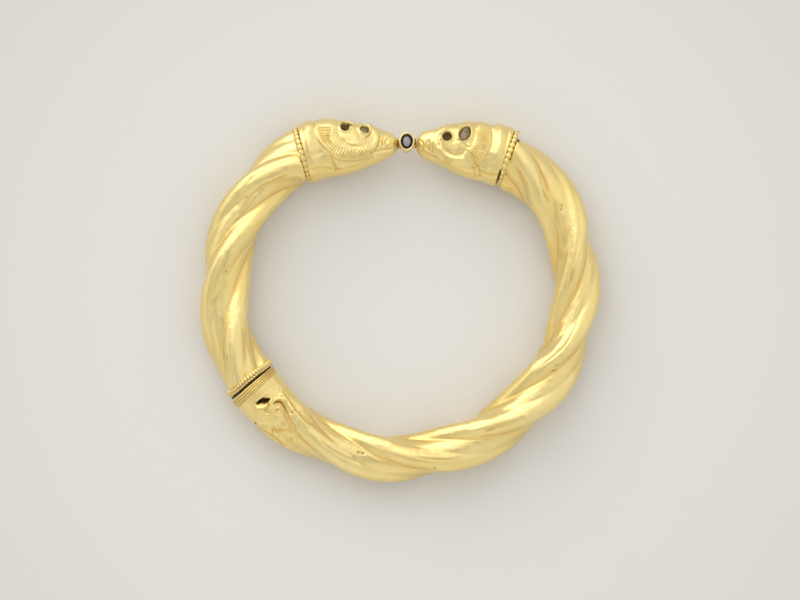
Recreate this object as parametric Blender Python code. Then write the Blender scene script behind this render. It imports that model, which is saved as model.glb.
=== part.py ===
"""Gold bangle: a twisted, fluted hoop in two arms that ends in two animal heads facing each other.

The bangle lies flat. Seen from above, +Y is the side with the heads and +X is to the right; +Z is up.
Angles round the hoop are degrees, clockwise from +Y. Lengths are millimetres up to the MM factor.
"""
import bpy
import bmesh
from bisect import bisect
from math import atan2, cos, degrees, hypot, pi, radians, sin, sqrt
from mathutils import Matrix, Vector

MM = 0.001
GAP = 0.1                   # clearance between two pieces that lie against each other

# Plan of the centreline: a circle with waves on it, each (waves per turn, height, angle of a crest).
PLAN_CENTRE_Y = -0.4
PLAN_RADIUS = 33.63
PLAN_WAVES = ((1, 1.453, -3.8), (2, 1.829, 85.5), (3, 0.848, -59.2), (4, 0.461, -41.8), (5, 0.272, -34.3))
AXIS_HEIGHT = 5.4           # centreline above the surface that the bangle lies on

# Fluted section of the arms, one of three equal parts: (degrees from the lobe's crest, radius).
FLUTE = ((-33, 3.75), (-20, 4.7), (-5, 5.22), (12, 5.15), (26, 4.7), (38, 3.92), (47, 4.08), (60, 4.12),
         (74, 4.0))
LOBES = 3
LONG_CRESTS = (24, 55, 86, 114.5, 149.5, 186.5, 223, 258)   # where each lobe crosses the outer edge
SHORT_CRESTS = (230, 263, 296, 326)
# Fullness of the hammered tube along the hoop, as a share of the nominal section.
SWELL = ((37, 1.12), (50, 1.07), (62, 1.0), (75, 0.98), (100, 0.96), (122, 1.04), (150, 1.03), (175, 0.98),
         (205, 0.95), (225, 1.03), (238, 1.05), (245, 1.02), (262, 1.0), (280, 0.98), (300, 1.02), (322, 1.08))
ROUND_RADIUS = 5.0          # round section that the flutes fade into at the torn end of the long arm
ARM_STEP = 3.15             # spacing of the sections along the arms

# Collet, muzzles and seams, from the collet's middle outwards.
COLLET_ANGLE = 2.45
COLLET_OUT = 0.05           # distance outward of the centreline
RIGHT_REACH = 2.195         # from the collet's middle to each muzzle's tip
LEFT_REACH = 2.13
RIGHT_HEAD_LENGTH = 18.03   # from the tip to the seam under the neck's wire
LEFT_HEAD_LENGTH = 19.01
RIGHT_LEAN = -10.0          # how far each seam's plane leans from square to the centreline, degrees
LEFT_LEAN = 8.6
LEAN_FADE = 18              # degrees of the hoop over which an arm takes up the lean
NECK_SHIFT = 0.6            # the necks lie this far outside the centreline
SHIFT_FADE = 14
WAIST = 4.7                 # radius of the waist under a wire
WAIST_LENGTH = 0.6
WAIST_FLAT = 0.93           # waist's height as a share of its width
NECK_WIRE = 0.45            # radius of a bead at its fullest
NECK_WIRE_THIN = 0.22
NECK_BEAD_COUNT = 28

SEAM_WIRE_AT = 243.6
SEAM_RING_AT = 242.35
COLLAR_FROM = 238.25
COLLAR_TO = 241.35
SEAM_WIRE = 0.35
SEAM_WIRE_THIN = 0.18
SEAM_BEAD_COUNT = 42
SEAM_RING = 0.27
COLLAR_RADIUS = 5.6
COLLAR_GROOVE = 0.32
COLLAR_RIDGES = 3

# Head outline: (share of the length from the muzzle, outer edge, inner edge, half thickness).
HEAD = ((0.0, 1.35, 1.75, 1.6), (0.03, 1.9, 2.45, 2.15), (0.1, 2.55, 3.15, 2.7), (0.2, 3.35, 4.1, 3.3),
        (0.3, 4.0, 4.85, 4.0), (0.4, 4.6, 5.45, 4.6), (0.5, 5.2, 5.85, 4.75), (0.6, 5.8, 6.15, 4.85),
        (0.7, 6.0, 6.2, 4.95), (0.8, 6.1, 6.1, 4.95), (0.9, 6.45, 6.05, 5.52), (0.96, 6.3, 5.85, 5.3),
        (1.0, 5.9, 5.4, 5.0))
HEAD_SQUARENESS = 2.3
HEAD_SECTIONS = (0.0, 0.012, 0.04, 0.09, 0.14, 0.19, 0.24, 0.29, 0.34, 0.39, 0.44, 0.49, 0.54, 0.59, 0.64,
                 0.69, 0.74, 0.79, 0.84, 0.89, 0.94)
HEAD_SIDES = 24
# Places on a head are (distance behind the muzzle's tip, distance outward of the centreline).
# Mane: a raised band round the cheek, (degrees from straight back by way of the throat, radius).
MANE_INNER = ((-60, 3.9), (0, 3.25), (30, 2.9), (60, 2.6), (90, 2.45), (120, 2.75), (150, 3.6), (200, 4.2))
MANE_OUTER = ((-60, 8.6), (0, 7.2), (30, 6.1), (50, 5.75), (80, 5.25), (126, 5.3), (150, 5.6), (200, 5.6))
MANE_HEIGHT = 0.42
CHEEK_HEIGHT = 0.22
LEFT_CHEEK = (8.83, 1.92)
RIGHT_CHEEK = (7.21, 0.49)
RIGHT_MANE_SCALE = 1.12

# Sockets, the ear's and the eye's: place, half width, half height, turn in plan.
SOCKETS = {
    "left_head": (((9.56, 3.67), 1.3, 1.0, 0), ((6.23, 2.81), 1.0, 0.76, -20)),
    "right_head": (((9.08, 2.58), 1.2, 1.6, -20), ((5.78, 1.65), 1.02, 0.95, 0)),
}
SOCKET_RIM = 0.28
SOCKET_RISE = 0.18
SOCKET_DEPTH = 0.75
INLAY_SINK = 0.3            # face of an inlay below its socket's rim
# Mouth: places of its front corner, just past the tip, and of its back corner.
MOUTHS = {"left_head": ((-0.58, -0.86), (3.68, -2.09)), "right_head": ((-0.64, -0.97), (2.96, -2.35))}
MOUTH_WIDTH = 0.3
MOUTH_DEPTH = 0.45

# Tear and dents at the end of the long arm: distance before the collar, distance outward of the
# centreline, half sizes, turn in plan, depth.
TEAR = (2.31, 0.23, 1.6, 0.62, 14, 1.5)
DENTS = ((4.35, 1.24, 0.8, 0.8, 0, 0.3), (5.73, -0.28, 0.5, 0.5, 0, 0.4), (7.37, 3.0, 0.6, 0.5, 0, 0.4))

# Collet and stone.
COLLET_HALF = (1.53, 1.92)
COLLET_BOTTOM = 2.7
COLLET_TOP = 8.2
COLLET_TILT = 7.0
COLLET_TAPER = 0.86
STONE_HALF = (1.16, 1.5)
STONE_SEAT = 0.45
STONE_RISE = 0.45
LUG_RADIUS = 0.33
LUG_HEIGHT = 1.9
LUGS = ((1.49, 0.76), (1.45, -0.59), (-1.41, 0.76), (-1.39, -0.84))    # places in plan from its middle


def clear_scene():
    for thing in list(bpy.data.objects):
        bpy.data.objects.remove(thing, do_unlink=True)


def material(name, colour, roughness, metallic):
    mat = bpy.data.materials.new(name)
    mat.use_nodes = True
    shader = mat.node_tree.nodes["Principled BSDF"]
    shader.inputs["Base Color"].default_value = (*colour, 1.0)
    shader.inputs["Roughness"].default_value = roughness
    shader.inputs["Metallic"].default_value = metallic
    mat.diffuse_color = (*colour, 1.0)
    return mat


def curve(table, x):
    """Smooth curve through the table's points, level beyond its ends."""
    if x <= table[0][0]:
        return table[0][1]
    if x >= table[-1][0]:
        return table[-1][1]
    last = len(table) - 1
    i = max(k for k in range(last) if table[k][0] <= x)
    slopes = []
    for k in (i, i + 1):
        a, b = table[max(k - 1, 0)], table[min(k + 1, last)]
        slopes.append((b[1] - a[1]) / (b[0] - a[0]))
    (x0, y0), (x1, y1) = table[i], table[i + 1]
    w = x1 - x0
    t = (x - x0) / w
    return (y0 * (1 + 2 * t) * (1 - t) ** 2 + slopes[0] * w * t * (1 - t) ** 2
            + y1 * t * t * (3 - 2 * t) + slopes[1] * w * t * t * (t - 1))


def ramp(x, low, high):
    """0 below low, 1 above high, smooth between."""
    t = min(max((x - low) / (high - low), 0.0), 1.0)
    return t * t * (3 - 2 * t)


# The centreline

def centre(angle):
    r = PLAN_RADIUS + sum(h * cos(n * radians(angle - crest)) for n, h, crest in PLAN_WAVES)
    a = radians(angle)
    return Vector((r * sin(a), PLAN_CENTRE_Y + r * cos(a), AXIS_HEIGHT))


def axes(angle, lean=0.0):
    """Outward and forward directions of the section plane; forward is clockwise."""
    forward = (centre(angle + 0.05) - centre(angle - 0.05)).normalized()
    outward = Vector((-forward.y, forward.x, 0))
    c, s = cos(radians(lean)), sin(radians(lean))
    return outward * c + forward * s, forward * c - outward * s


def arc_table():
    """Length of the centreline from 0 degrees to each tenth of a degree, over two turns."""
    lengths = [0.0]
    for k in range(7200):
        lengths.append(lengths[-1] + (centre((k + 1) / 10) - centre(k / 10)).length)
    return lengths


ARC = arc_table()


def length_at(angle):
    k = int(angle * 10)
    return ARC[k] + (ARC[k + 1] - ARC[k]) * (angle * 10 - k)


def travel(start, distance):
    """Angle that lies the given distance clockwise of the start."""
    goal = length_at(start) + distance
    k = bisect(ARC, goal) - 1
    return (k + (goal - ARC[k]) / (ARC[k + 1] - ARC[k])) / 10


def arc_length(start, end):
    return length_at(end) - length_at(start)


RIGHT_TIP = travel(COLLET_ANGLE, RIGHT_REACH)
LEFT_TIP = travel(COLLET_ANGLE + 360, -LEFT_REACH)
RIGHT_SEAM = travel(RIGHT_TIP, RIGHT_HEAD_LENGTH)
LEFT_SEAM = travel(LEFT_TIP, -LEFT_HEAD_LENGTH)


def section_point(angle, lean, shift, across, up):
    outward, _ = axes(angle, lean)
    point = centre(angle) + outward * (shift + across)
    point.z += up
    return point


# Making meshes

def ring_edges(ring):
    edges = []
    for a, b in zip(ring, ring[1:] + ring[:1]):
        edges.append(next(e for e in a.link_edges if e.other_vert(a) is b))
    return edges


def loft(rings, closed=False):
    """A tube through the rings of points: capped at both ends, or closed on itself."""
    bm = bmesh.new()
    ring = list(bmesh.ops.create_circle(bm, segments=len(rings[0]), radius=1.0)["verts"])
    first = ring
    for v, p in zip(ring, rings[0]):
        v.co = p
    for points in rings[1:]:
        made = bmesh.ops.extrude_edge_only(bm, edges=ring_edges(ring))["geom"]
        fresh = {g for g in made if isinstance(g, bmesh.types.BMVert)}
        ring = [next(e.other_vert(v) for e in v.link_edges if e.other_vert(v) in fresh) for v in ring]
        for v, p in zip(ring, points):
            v.co = p
    if closed:
        for k in range(len(ring)):
            j = (k + 1) % len(ring)
            bm.faces.new((ring[k], ring[j], first[j], first[k]))
    else:
        bm.faces.new(first)
        bm.faces.new(ring)
    bmesh.ops.recalc_face_normals(bm, faces=bm.faces)
    return bm


def add_object(name, bm, mat, sharp=40):
    bmesh.ops.scale(bm, vec=(MM, MM, MM), verts=bm.verts)
    mesh = bpy.data.meshes.new(name)
    bm.to_mesh(mesh)
    bm.free()
    mesh.materials.append(mat)
    mesh.shade_smooth()
    mesh.set_sharp_from_angle(angle=radians(sharp))
    thing = bpy.data.objects.new(name, mesh)
    bpy.context.collection.objects.link(thing)
    return thing


def combine(thing, tool, operation):
    """Adds the tool to the piece or cuts it away, and removes the tool."""
    mod = thing.modifiers.new(tool.name, "BOOLEAN")
    mod.operation = operation
    mod.solver = "EXACT"
    mod.object = tool
    graph = bpy.context.evaluated_depsgraph_get()
    result = bpy.data.meshes.new_from_object(thing.evaluated_get(graph))
    thing.modifiers.clear()
    thing.data = result
    bpy.data.objects.remove(tool, do_unlink=True)


def wear_flats(thing):
    """Cuts the piece off level where it would reach below the surface that the bangle lies on."""
    if min(v.co.z for v in thing.data.vertices) >= 0:
        return
    bm = bmesh.new()
    bm.from_mesh(thing.data)
    everything = bm.verts[:] + bm.edges[:] + bm.faces[:]
    bmesh.ops.bisect_plane(bm, geom=everything, dist=1e-7, plane_co=(0, 0, 0), plane_no=(0, 0, -1),
                           clear_outer=True)
    bmesh.ops.holes_fill(bm, edges=[e for e in bm.edges if e.is_boundary])
    bm.to_mesh(thing.data)
    bm.free()


def oval_prism(bottom, top, half, sides=14, taper=1.0):
    """Upright oval plug between two heights; taper is the top's size as a share of the bottom's."""
    rings = []
    for z, k in ((bottom, 1.0), (top, taper)):
        rings.append([Vector((half[0] * k * cos(phi), half[1] * k * sin(phi), z))
                      for phi in (2 * pi * i / sides for i in range(sides))])
    return loft(rings)


# The arms

def turn(crests, angle):
    """Rotation of the fluted section: the k-th lobe lies on the outer edge at crests[k]."""
    k = 0
    while k < len(crests) - 2 and angle > crests[k + 1]:
        k += 1
    return 360 / LOBES * (k + (angle - crests[k]) / (crests[k + 1] - crests[k]))


def arm_lean(angle):
    if angle < 180:
        return RIGHT_LEAN * (1 - ramp(angle, RIGHT_SEAM, RIGHT_SEAM + LEAN_FADE))
    return LEFT_LEAN * ramp(angle, LEFT_SEAM - LEAN_FADE, LEFT_SEAM)


def arm_shift(angle):
    if angle < 180:
        return NECK_SHIFT * (1 - ramp(angle, RIGHT_SEAM, RIGHT_SEAM + SHIFT_FADE))
    return NECK_SHIFT * ramp(angle, LEFT_SEAM - SHIFT_FADE, LEFT_SEAM)


def shoulder(distance, waist_length):
    """Share of the full section at a distance from the arm's end, past the waist under the wire."""
    over = distance - waist_length
    if over <= 0:
        return 0.0
    return sqrt(1 - (1 - min(over / 0.55, 1.0)) ** 2)


def arm_ring(crests, angle, share, fade):
    """One section: share is 0 at the waist and 1 on the full arm, fade is 1 where the flutes are gone."""
    rotation = turn(crests, angle)
    lean, shift, swell = arm_lean(angle), arm_shift(angle), curve(SWELL, angle)
    ring = []
    for lobe in range(LOBES):
        for offset, radius in FLUTE:
            theta = radians(offset + 360 / LOBES * lobe + rotation)
            full = swell * (radius * (1 - fade) + ROUND_RADIUS * fade)
            across = full * cos(theta) * share + WAIST * cos(theta) * (1 - share)
            up = full * sin(theta) * share + WAIST * WAIST_FLAT * sin(theta) * (1 - share)
            ring.append(section_point(angle, lean, shift, across, up))
    return ring


def arm_marks(start, end, waist_start, waist_end):
    """Distances of the sections from the start, closer together at the shoulders."""
    length = arc_length(start, end)
    near = [0.0] + ([waist_start, waist_start + 0.06, waist_start + 0.25] if waist_start else [])
    far = [length - d for d in ([waist_end + 0.25, waist_end + 0.06, waist_end] if waist_end else [])] + [length]
    first = near[-1] + 0.5
    last = far[0] - 0.5
    count = round((last - first) / ARM_STEP)
    return near + [first + (last - first) * k / count for k in range(count + 1)] + far, length


def make_arm(name, crests, start, end, waist_start, waist_end, fade_to, mat):
    marks, length = arm_marks(start, end, waist_start, waist_end)
    rings = []
    for d in marks:
        angle = travel(start, d) if d else start
        share = 1.0
        if waist_start:
            share *= shoulder(d, waist_start)
        if waist_end:
            share *= shoulder(length - d, waist_end)
        fade = 0.8 * ramp(angle, fade_to - 16, fade_to - 4) if fade_to else 0.0
        rings.append(arm_ring(crests, angle, share, fade))
    return add_object(name, loft(rings), mat, sharp=50)


# Wires and the collar

def wire_rings(angle, lean, shift, across, up, bead, sides, thin=None, beads=0):
    """Rings of a wire bent round the section: plain, or beaded with one full and one thin ring a bead."""
    outward, forward = axes(angle, lean)
    middle = centre(angle) + outward * shift
    count = beads * 2 if beads else 32
    rings = []
    for k in range(count):
        phi = 2 * pi * k / count
        radial = outward * cos(phi) + Vector((0, 0, 1)) * sin(phi)
        at = middle + outward * (across * cos(phi)) + Vector((0, 0, up * sin(phi)))
        size = thin if beads and k % 2 else bead
        rings.append([at + (radial * cos(2 * pi * j / sides) + forward * sin(2 * pi * j / sides)) * size
                      for j in range(sides)])
    return rings


def make_wire(name, angle, lean, shift, bead, thin, beads, sides, mat):
    across = WAIST + GAP + bead
    up = WAIST * WAIST_FLAT + GAP + bead
    rings = wire_rings(angle, lean, shift, across, up, bead, sides, thin, beads)
    return add_object(name, loft(rings, closed=True), mat, sharp=80)


def make_collar(mat):
    sides = 32
    length = arc_length(COLLAR_FROM, COLLAR_TO)
    steps = COLLAR_RIDGES * 2
    rings = []
    for k in range(steps + 1):
        radius = COLLAR_RADIUS - (0 if k % 2 else COLLAR_GROOVE)
        angle = travel(COLLAR_FROM, length * k / steps) if k else COLLAR_FROM
        ring = []
        for j in range(sides):
            phi = 2 * pi * j / sides
            ring.append(section_point(angle, 0.0, 0.0, radius * cos(phi), radius * sin(phi)))
        rings.append(ring)
    return add_object("collar", loft(rings), mat, sharp=60)


# The heads

def head_axis(name, share):
    if name == "right_head":
        length = arc_length(RIGHT_TIP, RIGHT_SEAM)
        return travel(RIGHT_TIP, length * share) if share else RIGHT_TIP
    length = arc_length(LEFT_SEAM, LEFT_TIP)
    return travel(LEFT_TIP, -length * share) if share else LEFT_TIP


def head_place(name, behind, out):
    """Place in plan at a distance behind the muzzle's tip and a distance outward of the centreline."""
    angle = travel(RIGHT_TIP, behind) if name == "right_head" else travel(LEFT_TIP, -behind)
    outward, _ = axes(angle)
    return (centre(angle) + outward * out).xy


CHEEKS = {
    "left_head": head_place("left_head", *LEFT_CHEEK),
    "right_head": head_place("right_head", *RIGHT_CHEEK),
}


def mane_place(name, x, y):
    """Degrees and radius of a point in plan about the head's cheek."""
    cheek = CHEEKS[name]
    back, scale = (1, RIGHT_MANE_SCALE) if name == "right_head" else (-1, 1.0)
    p, q = back * (x - cheek[0]), cheek[1] - y
    turned = degrees(atan2(q, p))
    if turned < -150:
        turned += 360
    return turned, hypot(p, q) / scale


def head_relief(name, x, y):
    """Height of the mane and the cheek over the smooth head."""
    turned, radius = mane_place(name, x, y)
    inner, outer = curve(MANE_INNER, turned), curve(MANE_OUTER, turned)
    mane = ramp(radius, inner - 0.3, inner + 0.4) * (1 - ramp(radius, outer - 0.25, outer + 0.25))
    if name == "right_head":
        mane *= 1 - 0.6 * ramp(turned, 95, 130)
    cheek = 1 - ramp(radius, inner * 0.45, inner * 0.95)
    return MANE_HEIGHT * mane + CHEEK_HEIGHT * cheek


def head_point(name, share, phi, relief=True):
    """Point on the head at a share of its length and an angle round its section."""
    outer, inner, thick = (curve([(row[0], row[k]) for row in HEAD], share) for k in (1, 2, 3))
    wide, shift = (outer + inner) / 2, (outer - inner) / 2
    c, s = cos(phi), sin(phi)
    power = 2 / HEAD_SQUARENESS
    across = wide * abs(c) ** power * (1 if c > 0 else -1)
    up = thick * abs(s) ** power * (1 if s > 0 else -1)
    angle = head_axis(name, share)
    lean = (RIGHT_LEAN if name == "right_head" else LEFT_LEAN) * ramp(share, 0.45, 1.0)
    outward, _ = axes(angle, lean)
    base = centre(angle) + outward * (shift + across)
    rise = 0.0
    if relief:
        rise = head_relief(name, base.x, base.y) * ramp(share, 0.12, 0.3)
    norm = hypot(c / wide, s / thick)
    across += rise * c / wide / norm
    up += rise * s / thick / norm
    point = centre(angle) + outward * (shift + across)
    point.z += up
    return point


def waist_ring(angle, lean, count, shift):
    ring = []
    for j in range(count):
        phi = 2 * pi * j / count
        ring.append(section_point(angle, lean, shift, WAIST * cos(phi), WAIST * WAIST_FLAT * sin(phi)))
    return ring


def surface_frame(name, at):
    """Point of the head's upper side over a place in plan, and the outward normal there."""
    best = None
    for i in range(8, 95):
        for j in range(4, 57):
            point = head_point(name, i / 100, pi * j / 60, relief=False)
            miss = hypot(point.x - at[0], point.y - at[1])
            if best is None or miss < best[0]:
                best = (miss, i / 100, pi * j / 60)
    _, share, phi = best
    point = head_point(name, share, phi)
    along = head_point(name, share + 0.02, phi) - head_point(name, share - 0.02, phi)
    round_ = head_point(name, share, phi + 0.05) - head_point(name, share, phi - 0.05)
    normal = along.cross(round_).normalized()
    if normal.z < 0:
        normal.negate()
    return point, normal


def place_tool(bm, point, normal, turned):
    """Stands an upright tool on a surface point, its own X towards +X in plan before the turn."""
    side = (Vector((1, 0, 0)) - normal * normal.x).normalized()
    up = normal.cross(side)
    frame = Matrix((side, up, normal)).transposed().to_4x4()
    frame.translation = point
    bmesh.ops.transform(bm, matrix=frame @ Matrix.Rotation(radians(turned), 4, "Z"), verts=bm.verts)


def mouth_blade(name, under):
    """Slot along the mouth line on one side of the muzzle."""
    front, back = (surface_frame(name, head_place(name, *at)) for at in MOUTHS[name])
    way = back[0] - front[0]
    normal = (front[1] + back[1]).normalized()
    middle = (front[0] + back[0]) / 2
    if under:
        way.z, normal.z, middle.z = -way.z, -normal.z, 2 * AXIS_HEIGHT - middle.z
    along = way.normalized()
    normal = (normal - along * normal.dot(along)).normalized()
    bm = bmesh.new()
    bmesh.ops.create_cube(bm, size=1.0)
    bmesh.ops.scale(bm, vec=(way.length + 0.8, MOUTH_WIDTH, MOUTH_DEPTH * 2), verts=bm.verts)
    frame = Matrix((along, normal.cross(along), normal)).transposed().to_4x4()
    frame.translation = middle
    bmesh.ops.transform(bm, matrix=frame, verts=bm.verts)
    return bm


def make_head(name, gold):
    rings = []
    for share in HEAD_SECTIONS:
        rings.append([head_point(name, share, 2 * pi * j / HEAD_SIDES) for j in range(HEAD_SIDES)])
    seam, lean, sign = (RIGHT_SEAM, RIGHT_LEAN, -1) if name == "right_head" else (LEFT_SEAM, LEFT_LEAN, 1)
    edge = travel(seam, sign * (WAIST_LENGTH + 0.06))
    rings.append([head_point(name, 0.965, 2 * pi * j / HEAD_SIDES, relief=False) for j in range(HEAD_SIDES)])
    rings.append(waist_ring(edge, lean, HEAD_SIDES, NECK_SHIFT))
    rings.append(waist_ring(travel(seam, sign * GAP * 0.6), lean, HEAD_SIDES, NECK_SHIFT))
    head = add_object(name, loft(rings), gold, sharp=55)
    for at, a, b, turned in SOCKETS[name]:
        point, normal = surface_frame(name, head_place(name, *at))
        for under in (False, True):
            spot = Vector((point.x, point.y, 2 * AXIS_HEIGHT - point.z)) if under else point
            way = Vector((normal.x, normal.y, -normal.z)) if under else normal
            rim = oval_prism(-0.8, SOCKET_RISE, (a + SOCKET_RIM, b + SOCKET_RIM), taper=0.92)
            place_tool(rim, spot, way, turned)
            combine(head, add_object("rim", rim, gold), "UNION")
            pocket = oval_prism(-SOCKET_DEPTH, 1.0, (a, b), taper=1.06)
            place_tool(pocket, spot, way, turned)
            combine(head, add_object("pocket", pocket, gold), "DIFFERENCE")
    for under in (False, True):
        combine(head, add_object("mouth", mouth_blade(name, under), gold), "DIFFERENCE")
    return head


def make_inlay(name, head, which, mat):
    at, a, b, turned = SOCKETS[head][which]
    point, normal = surface_frame(head, head_place(head, *at))
    inlay = oval_prism(-SOCKET_DEPTH + GAP, SOCKET_RISE - INLAY_SINK, (a - GAP, b - GAP), taper=0.98)
    place_tool(inlay, point, normal, turned)
    return add_object(name, inlay, mat, sharp=40)


# Collet and stone

COLLET_AT = centre(COLLET_ANGLE) + axes(COLLET_ANGLE)[0] * COLLET_OUT


def tilt_with_collet(bm):
    pivot = COLLET_AT
    turned = Matrix.Rotation(radians(-COLLET_TILT), 4, "X")
    matrix = Matrix.Translation(pivot) @ turned @ Matrix.Translation(-pivot)
    bmesh.ops.transform(bm, matrix=matrix, verts=bm.verts)


def make_collet(gold):
    sides = 20
    wall = ((COLLET_BOTTOM, COLLET_TAPER), (COLLET_BOTTOM + 0.4, COLLET_TAPER + 0.03), (AXIS_HEIGHT, 0.9),
            (COLLET_TOP - 0.5, 0.98), (COLLET_TOP - 0.25, 1.02), (COLLET_TOP, 1.0))
    seat = (STONE_HALF[0] + GAP, STONE_HALF[1] + GAP)

    def oval(half, z):
        return [Vector((COLLET_AT[0] + half[0] * cos(2 * pi * j / sides),
                        COLLET_AT[1] + half[1] * sin(2 * pi * j / sides), z)) for j in range(sides)]

    rings = [oval((COLLET_HALF[0] * k, COLLET_HALF[1] * k), z) for z, k in wall]
    rings.append(oval(seat, COLLET_TOP))
    rings.append(oval(seat, COLLET_TOP - STONE_SEAT))
    bm = loft(rings)
    tilt_with_collet(bm)
    collet = add_object("collet", bm, gold, sharp=45)
    for x, y in LUGS:
        low, high = AXIS_HEIGHT - LUG_HEIGHT / 2, AXIS_HEIGHT + LUG_HEIGHT / 2
        lug = oval_prism(low, high, (LUG_RADIUS, LUG_RADIUS), 8)
        bmesh.ops.translate(lug, vec=(COLLET_AT.x + x, COLLET_AT.y + y, 0), verts=lug.verts)
        combine(collet, add_object("lug", lug, gold), "UNION")
    return collet


def make_stone(mat):
    sides = 20
    base = COLLET_TOP - STONE_SEAT + GAP
    rings = []
    for rise, k in ((0.0, 0.9), (0.25, 1.0), (0.25 + STONE_RISE * 0.5, 0.88), (0.25 + STONE_RISE * 0.85, 0.58),
                    (0.25 + STONE_RISE, 0.22)):
        rings.append([Vector((COLLET_AT[0] + STONE_HALF[0] * k * cos(2 * pi * j / sides),
                              COLLET_AT[1] + STONE_HALF[1] * k * sin(2 * pi * j / sides), base + rise))
                      for j in range(sides)])
    bm = loft(rings)
    tilt_with_collet(bm)
    return add_object("stone", bm, mat, sharp=60)


def make_tear(arm, gold):
    """The torn hole and the dents, sunk into the upper side of the long arm's end."""
    for before, out, a, b, turned, depth in (TEAR,) + DENTS:
        angle = travel(COLLAR_FROM, -before)
        outward, _ = axes(angle)
        radius = ROUND_RADIUS * curve(SWELL, angle)
        up = sqrt(max(radius ** 2 - out ** 2, 1.0))
        spot = centre(angle) + outward * out + Vector((0, 0, up))
        tool = oval_prism(-depth, 1.2, (a * 0.8, b * 0.8), 10, taper=1.45)
        place_tool(tool, spot, (spot - centre(angle)).normalized(), turned)
        combine(arm, add_object("dent", tool, gold), "DIFFERENCE")


def main():
    clear_scene()
    gold = material("gold", (0.86, 0.63, 0.2), 0.28, 1.0)
    dark = material("stone", (0.015, 0.015, 0.02), 0.12, 0.0)
    paste = material("inlay_remains", (0.3, 0.29, 0.2), 0.8, 0.0)

    arm_start = travel(RIGHT_SEAM, GAP * 0.6)
    arm_end = travel(COLLAR_FROM, -GAP)
    long_arm = make_arm("long_arm", LONG_CRESTS, arm_start, arm_end, WAIST_LENGTH, 0.0, COLLAR_FROM, gold)
    make_tear(long_arm, gold)
    short_start = travel(SEAM_RING_AT, -SEAM_RING - 0.05)
    short_end = travel(LEFT_SEAM, -GAP * 0.6)
    seam_waist = arc_length(short_start, SEAM_WIRE_AT) + SEAM_WIRE + GAP
    make_arm("short_arm", SHORT_CRESTS, short_start, short_end, seam_waist, WAIST_LENGTH, 0.0, gold)

    make_head("left_head", gold)
    make_head("right_head", gold)
    make_inlay("right_ear_inlay", "right_head", 0, paste)
    make_inlay("left_eye_inlay", "left_head", 1, paste)

    for side, seam, lean in (("right", RIGHT_SEAM, RIGHT_LEAN), ("left", LEFT_SEAM, LEFT_LEAN)):
        make_wire(side + "_neck_wire", seam, lean, NECK_SHIFT, NECK_WIRE, NECK_WIRE_THIN, NECK_BEAD_COUNT, 5, gold)
    make_wire("seam_wire", SEAM_WIRE_AT, 0.0, 0.0, SEAM_WIRE, SEAM_WIRE_THIN, SEAM_BEAD_COUNT, 4, gold)
    make_wire("seam_ring", SEAM_RING_AT, 0.0, 0.0, SEAM_RING, None, 0, 4, gold)
    make_collar(gold)
    make_collet(gold)
    make_stone(dark)
    for thing in bpy.data.objects:
        wear_flats(thing)


main()
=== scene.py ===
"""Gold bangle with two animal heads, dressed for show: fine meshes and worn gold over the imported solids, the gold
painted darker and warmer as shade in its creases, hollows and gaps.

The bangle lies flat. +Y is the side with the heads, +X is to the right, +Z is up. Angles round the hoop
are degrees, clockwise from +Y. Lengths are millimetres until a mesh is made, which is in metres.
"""

from math import cos, pi, radians, sin

import bmesh
import bpy
import numpy as np
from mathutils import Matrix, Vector

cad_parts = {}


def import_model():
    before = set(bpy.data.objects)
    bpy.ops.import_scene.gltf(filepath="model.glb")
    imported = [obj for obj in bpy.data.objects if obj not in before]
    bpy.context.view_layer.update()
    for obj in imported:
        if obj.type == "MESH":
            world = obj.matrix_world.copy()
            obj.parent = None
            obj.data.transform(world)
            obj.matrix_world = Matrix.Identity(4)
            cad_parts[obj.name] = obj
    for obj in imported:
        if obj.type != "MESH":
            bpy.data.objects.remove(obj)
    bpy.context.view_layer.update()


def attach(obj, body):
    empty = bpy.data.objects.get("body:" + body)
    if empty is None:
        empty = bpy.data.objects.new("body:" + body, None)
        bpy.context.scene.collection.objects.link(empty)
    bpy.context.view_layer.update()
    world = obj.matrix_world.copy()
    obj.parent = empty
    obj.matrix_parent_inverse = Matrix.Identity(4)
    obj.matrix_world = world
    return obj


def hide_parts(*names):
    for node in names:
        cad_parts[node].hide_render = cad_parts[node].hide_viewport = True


MM = 0.001
UP = np.array((0.0, 0.0, 1.0))
# The photograph's frame: its middle in points, and millimetres to a point
FRAME_MIDDLE = (400, 300)
POINT = 0.2

# The hoop
PLAN_CENTRE_Y = -0.4
PLAN_RADIUS = 33.63
PLAN_WAVES = ((1, 1.453, -3.8), (2, 1.829, 85.5), (3, 0.848, -59.2), (4, 0.461, -41.8), (5, 0.272, -34.3))
AXIS_HEIGHT = 5.4
LOBE = 360 / 3
FLUTE = ((-46, 3.86), (-34, 3.78), (-20, 4.62), (-5, 5.2), (12, 5.18), (26, 4.78), (38, 4.26), (50, 4.08),
         (62, 3.99), (74, 3.86), (86, 3.78), (100, 4.62))
LONG_CRESTS = (24, 55, 86, 114.5, 149.5, 186.5, 223, 258)
SHORT_CRESTS = (230, 263, 296, 326)
SWELL = ((37, 1.12), (50, 1.07), (62, 1.0), (75, 0.98), (100, 0.96), (122, 1.04), (150, 1.03), (175, 0.98),
         (205, 0.95), (225, 1.03), (238, 1.05), (245, 1.02), (262, 1.0), (280, 0.98), (300, 1.02), (322, 1.08))
ROUND_RADIUS = 5.0
# Degrees from a lobe's crest: where the flute's table starts, its sharp groove and its wide valley
FLUTE_FROM = -40
GROOVE_AT, GROOVE_WIDTH, GROOVE_DEPTH = 42, 5.0, 0.05
VALLEY_AT, VALLEY_WIDTH = -33, 11.0
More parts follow.
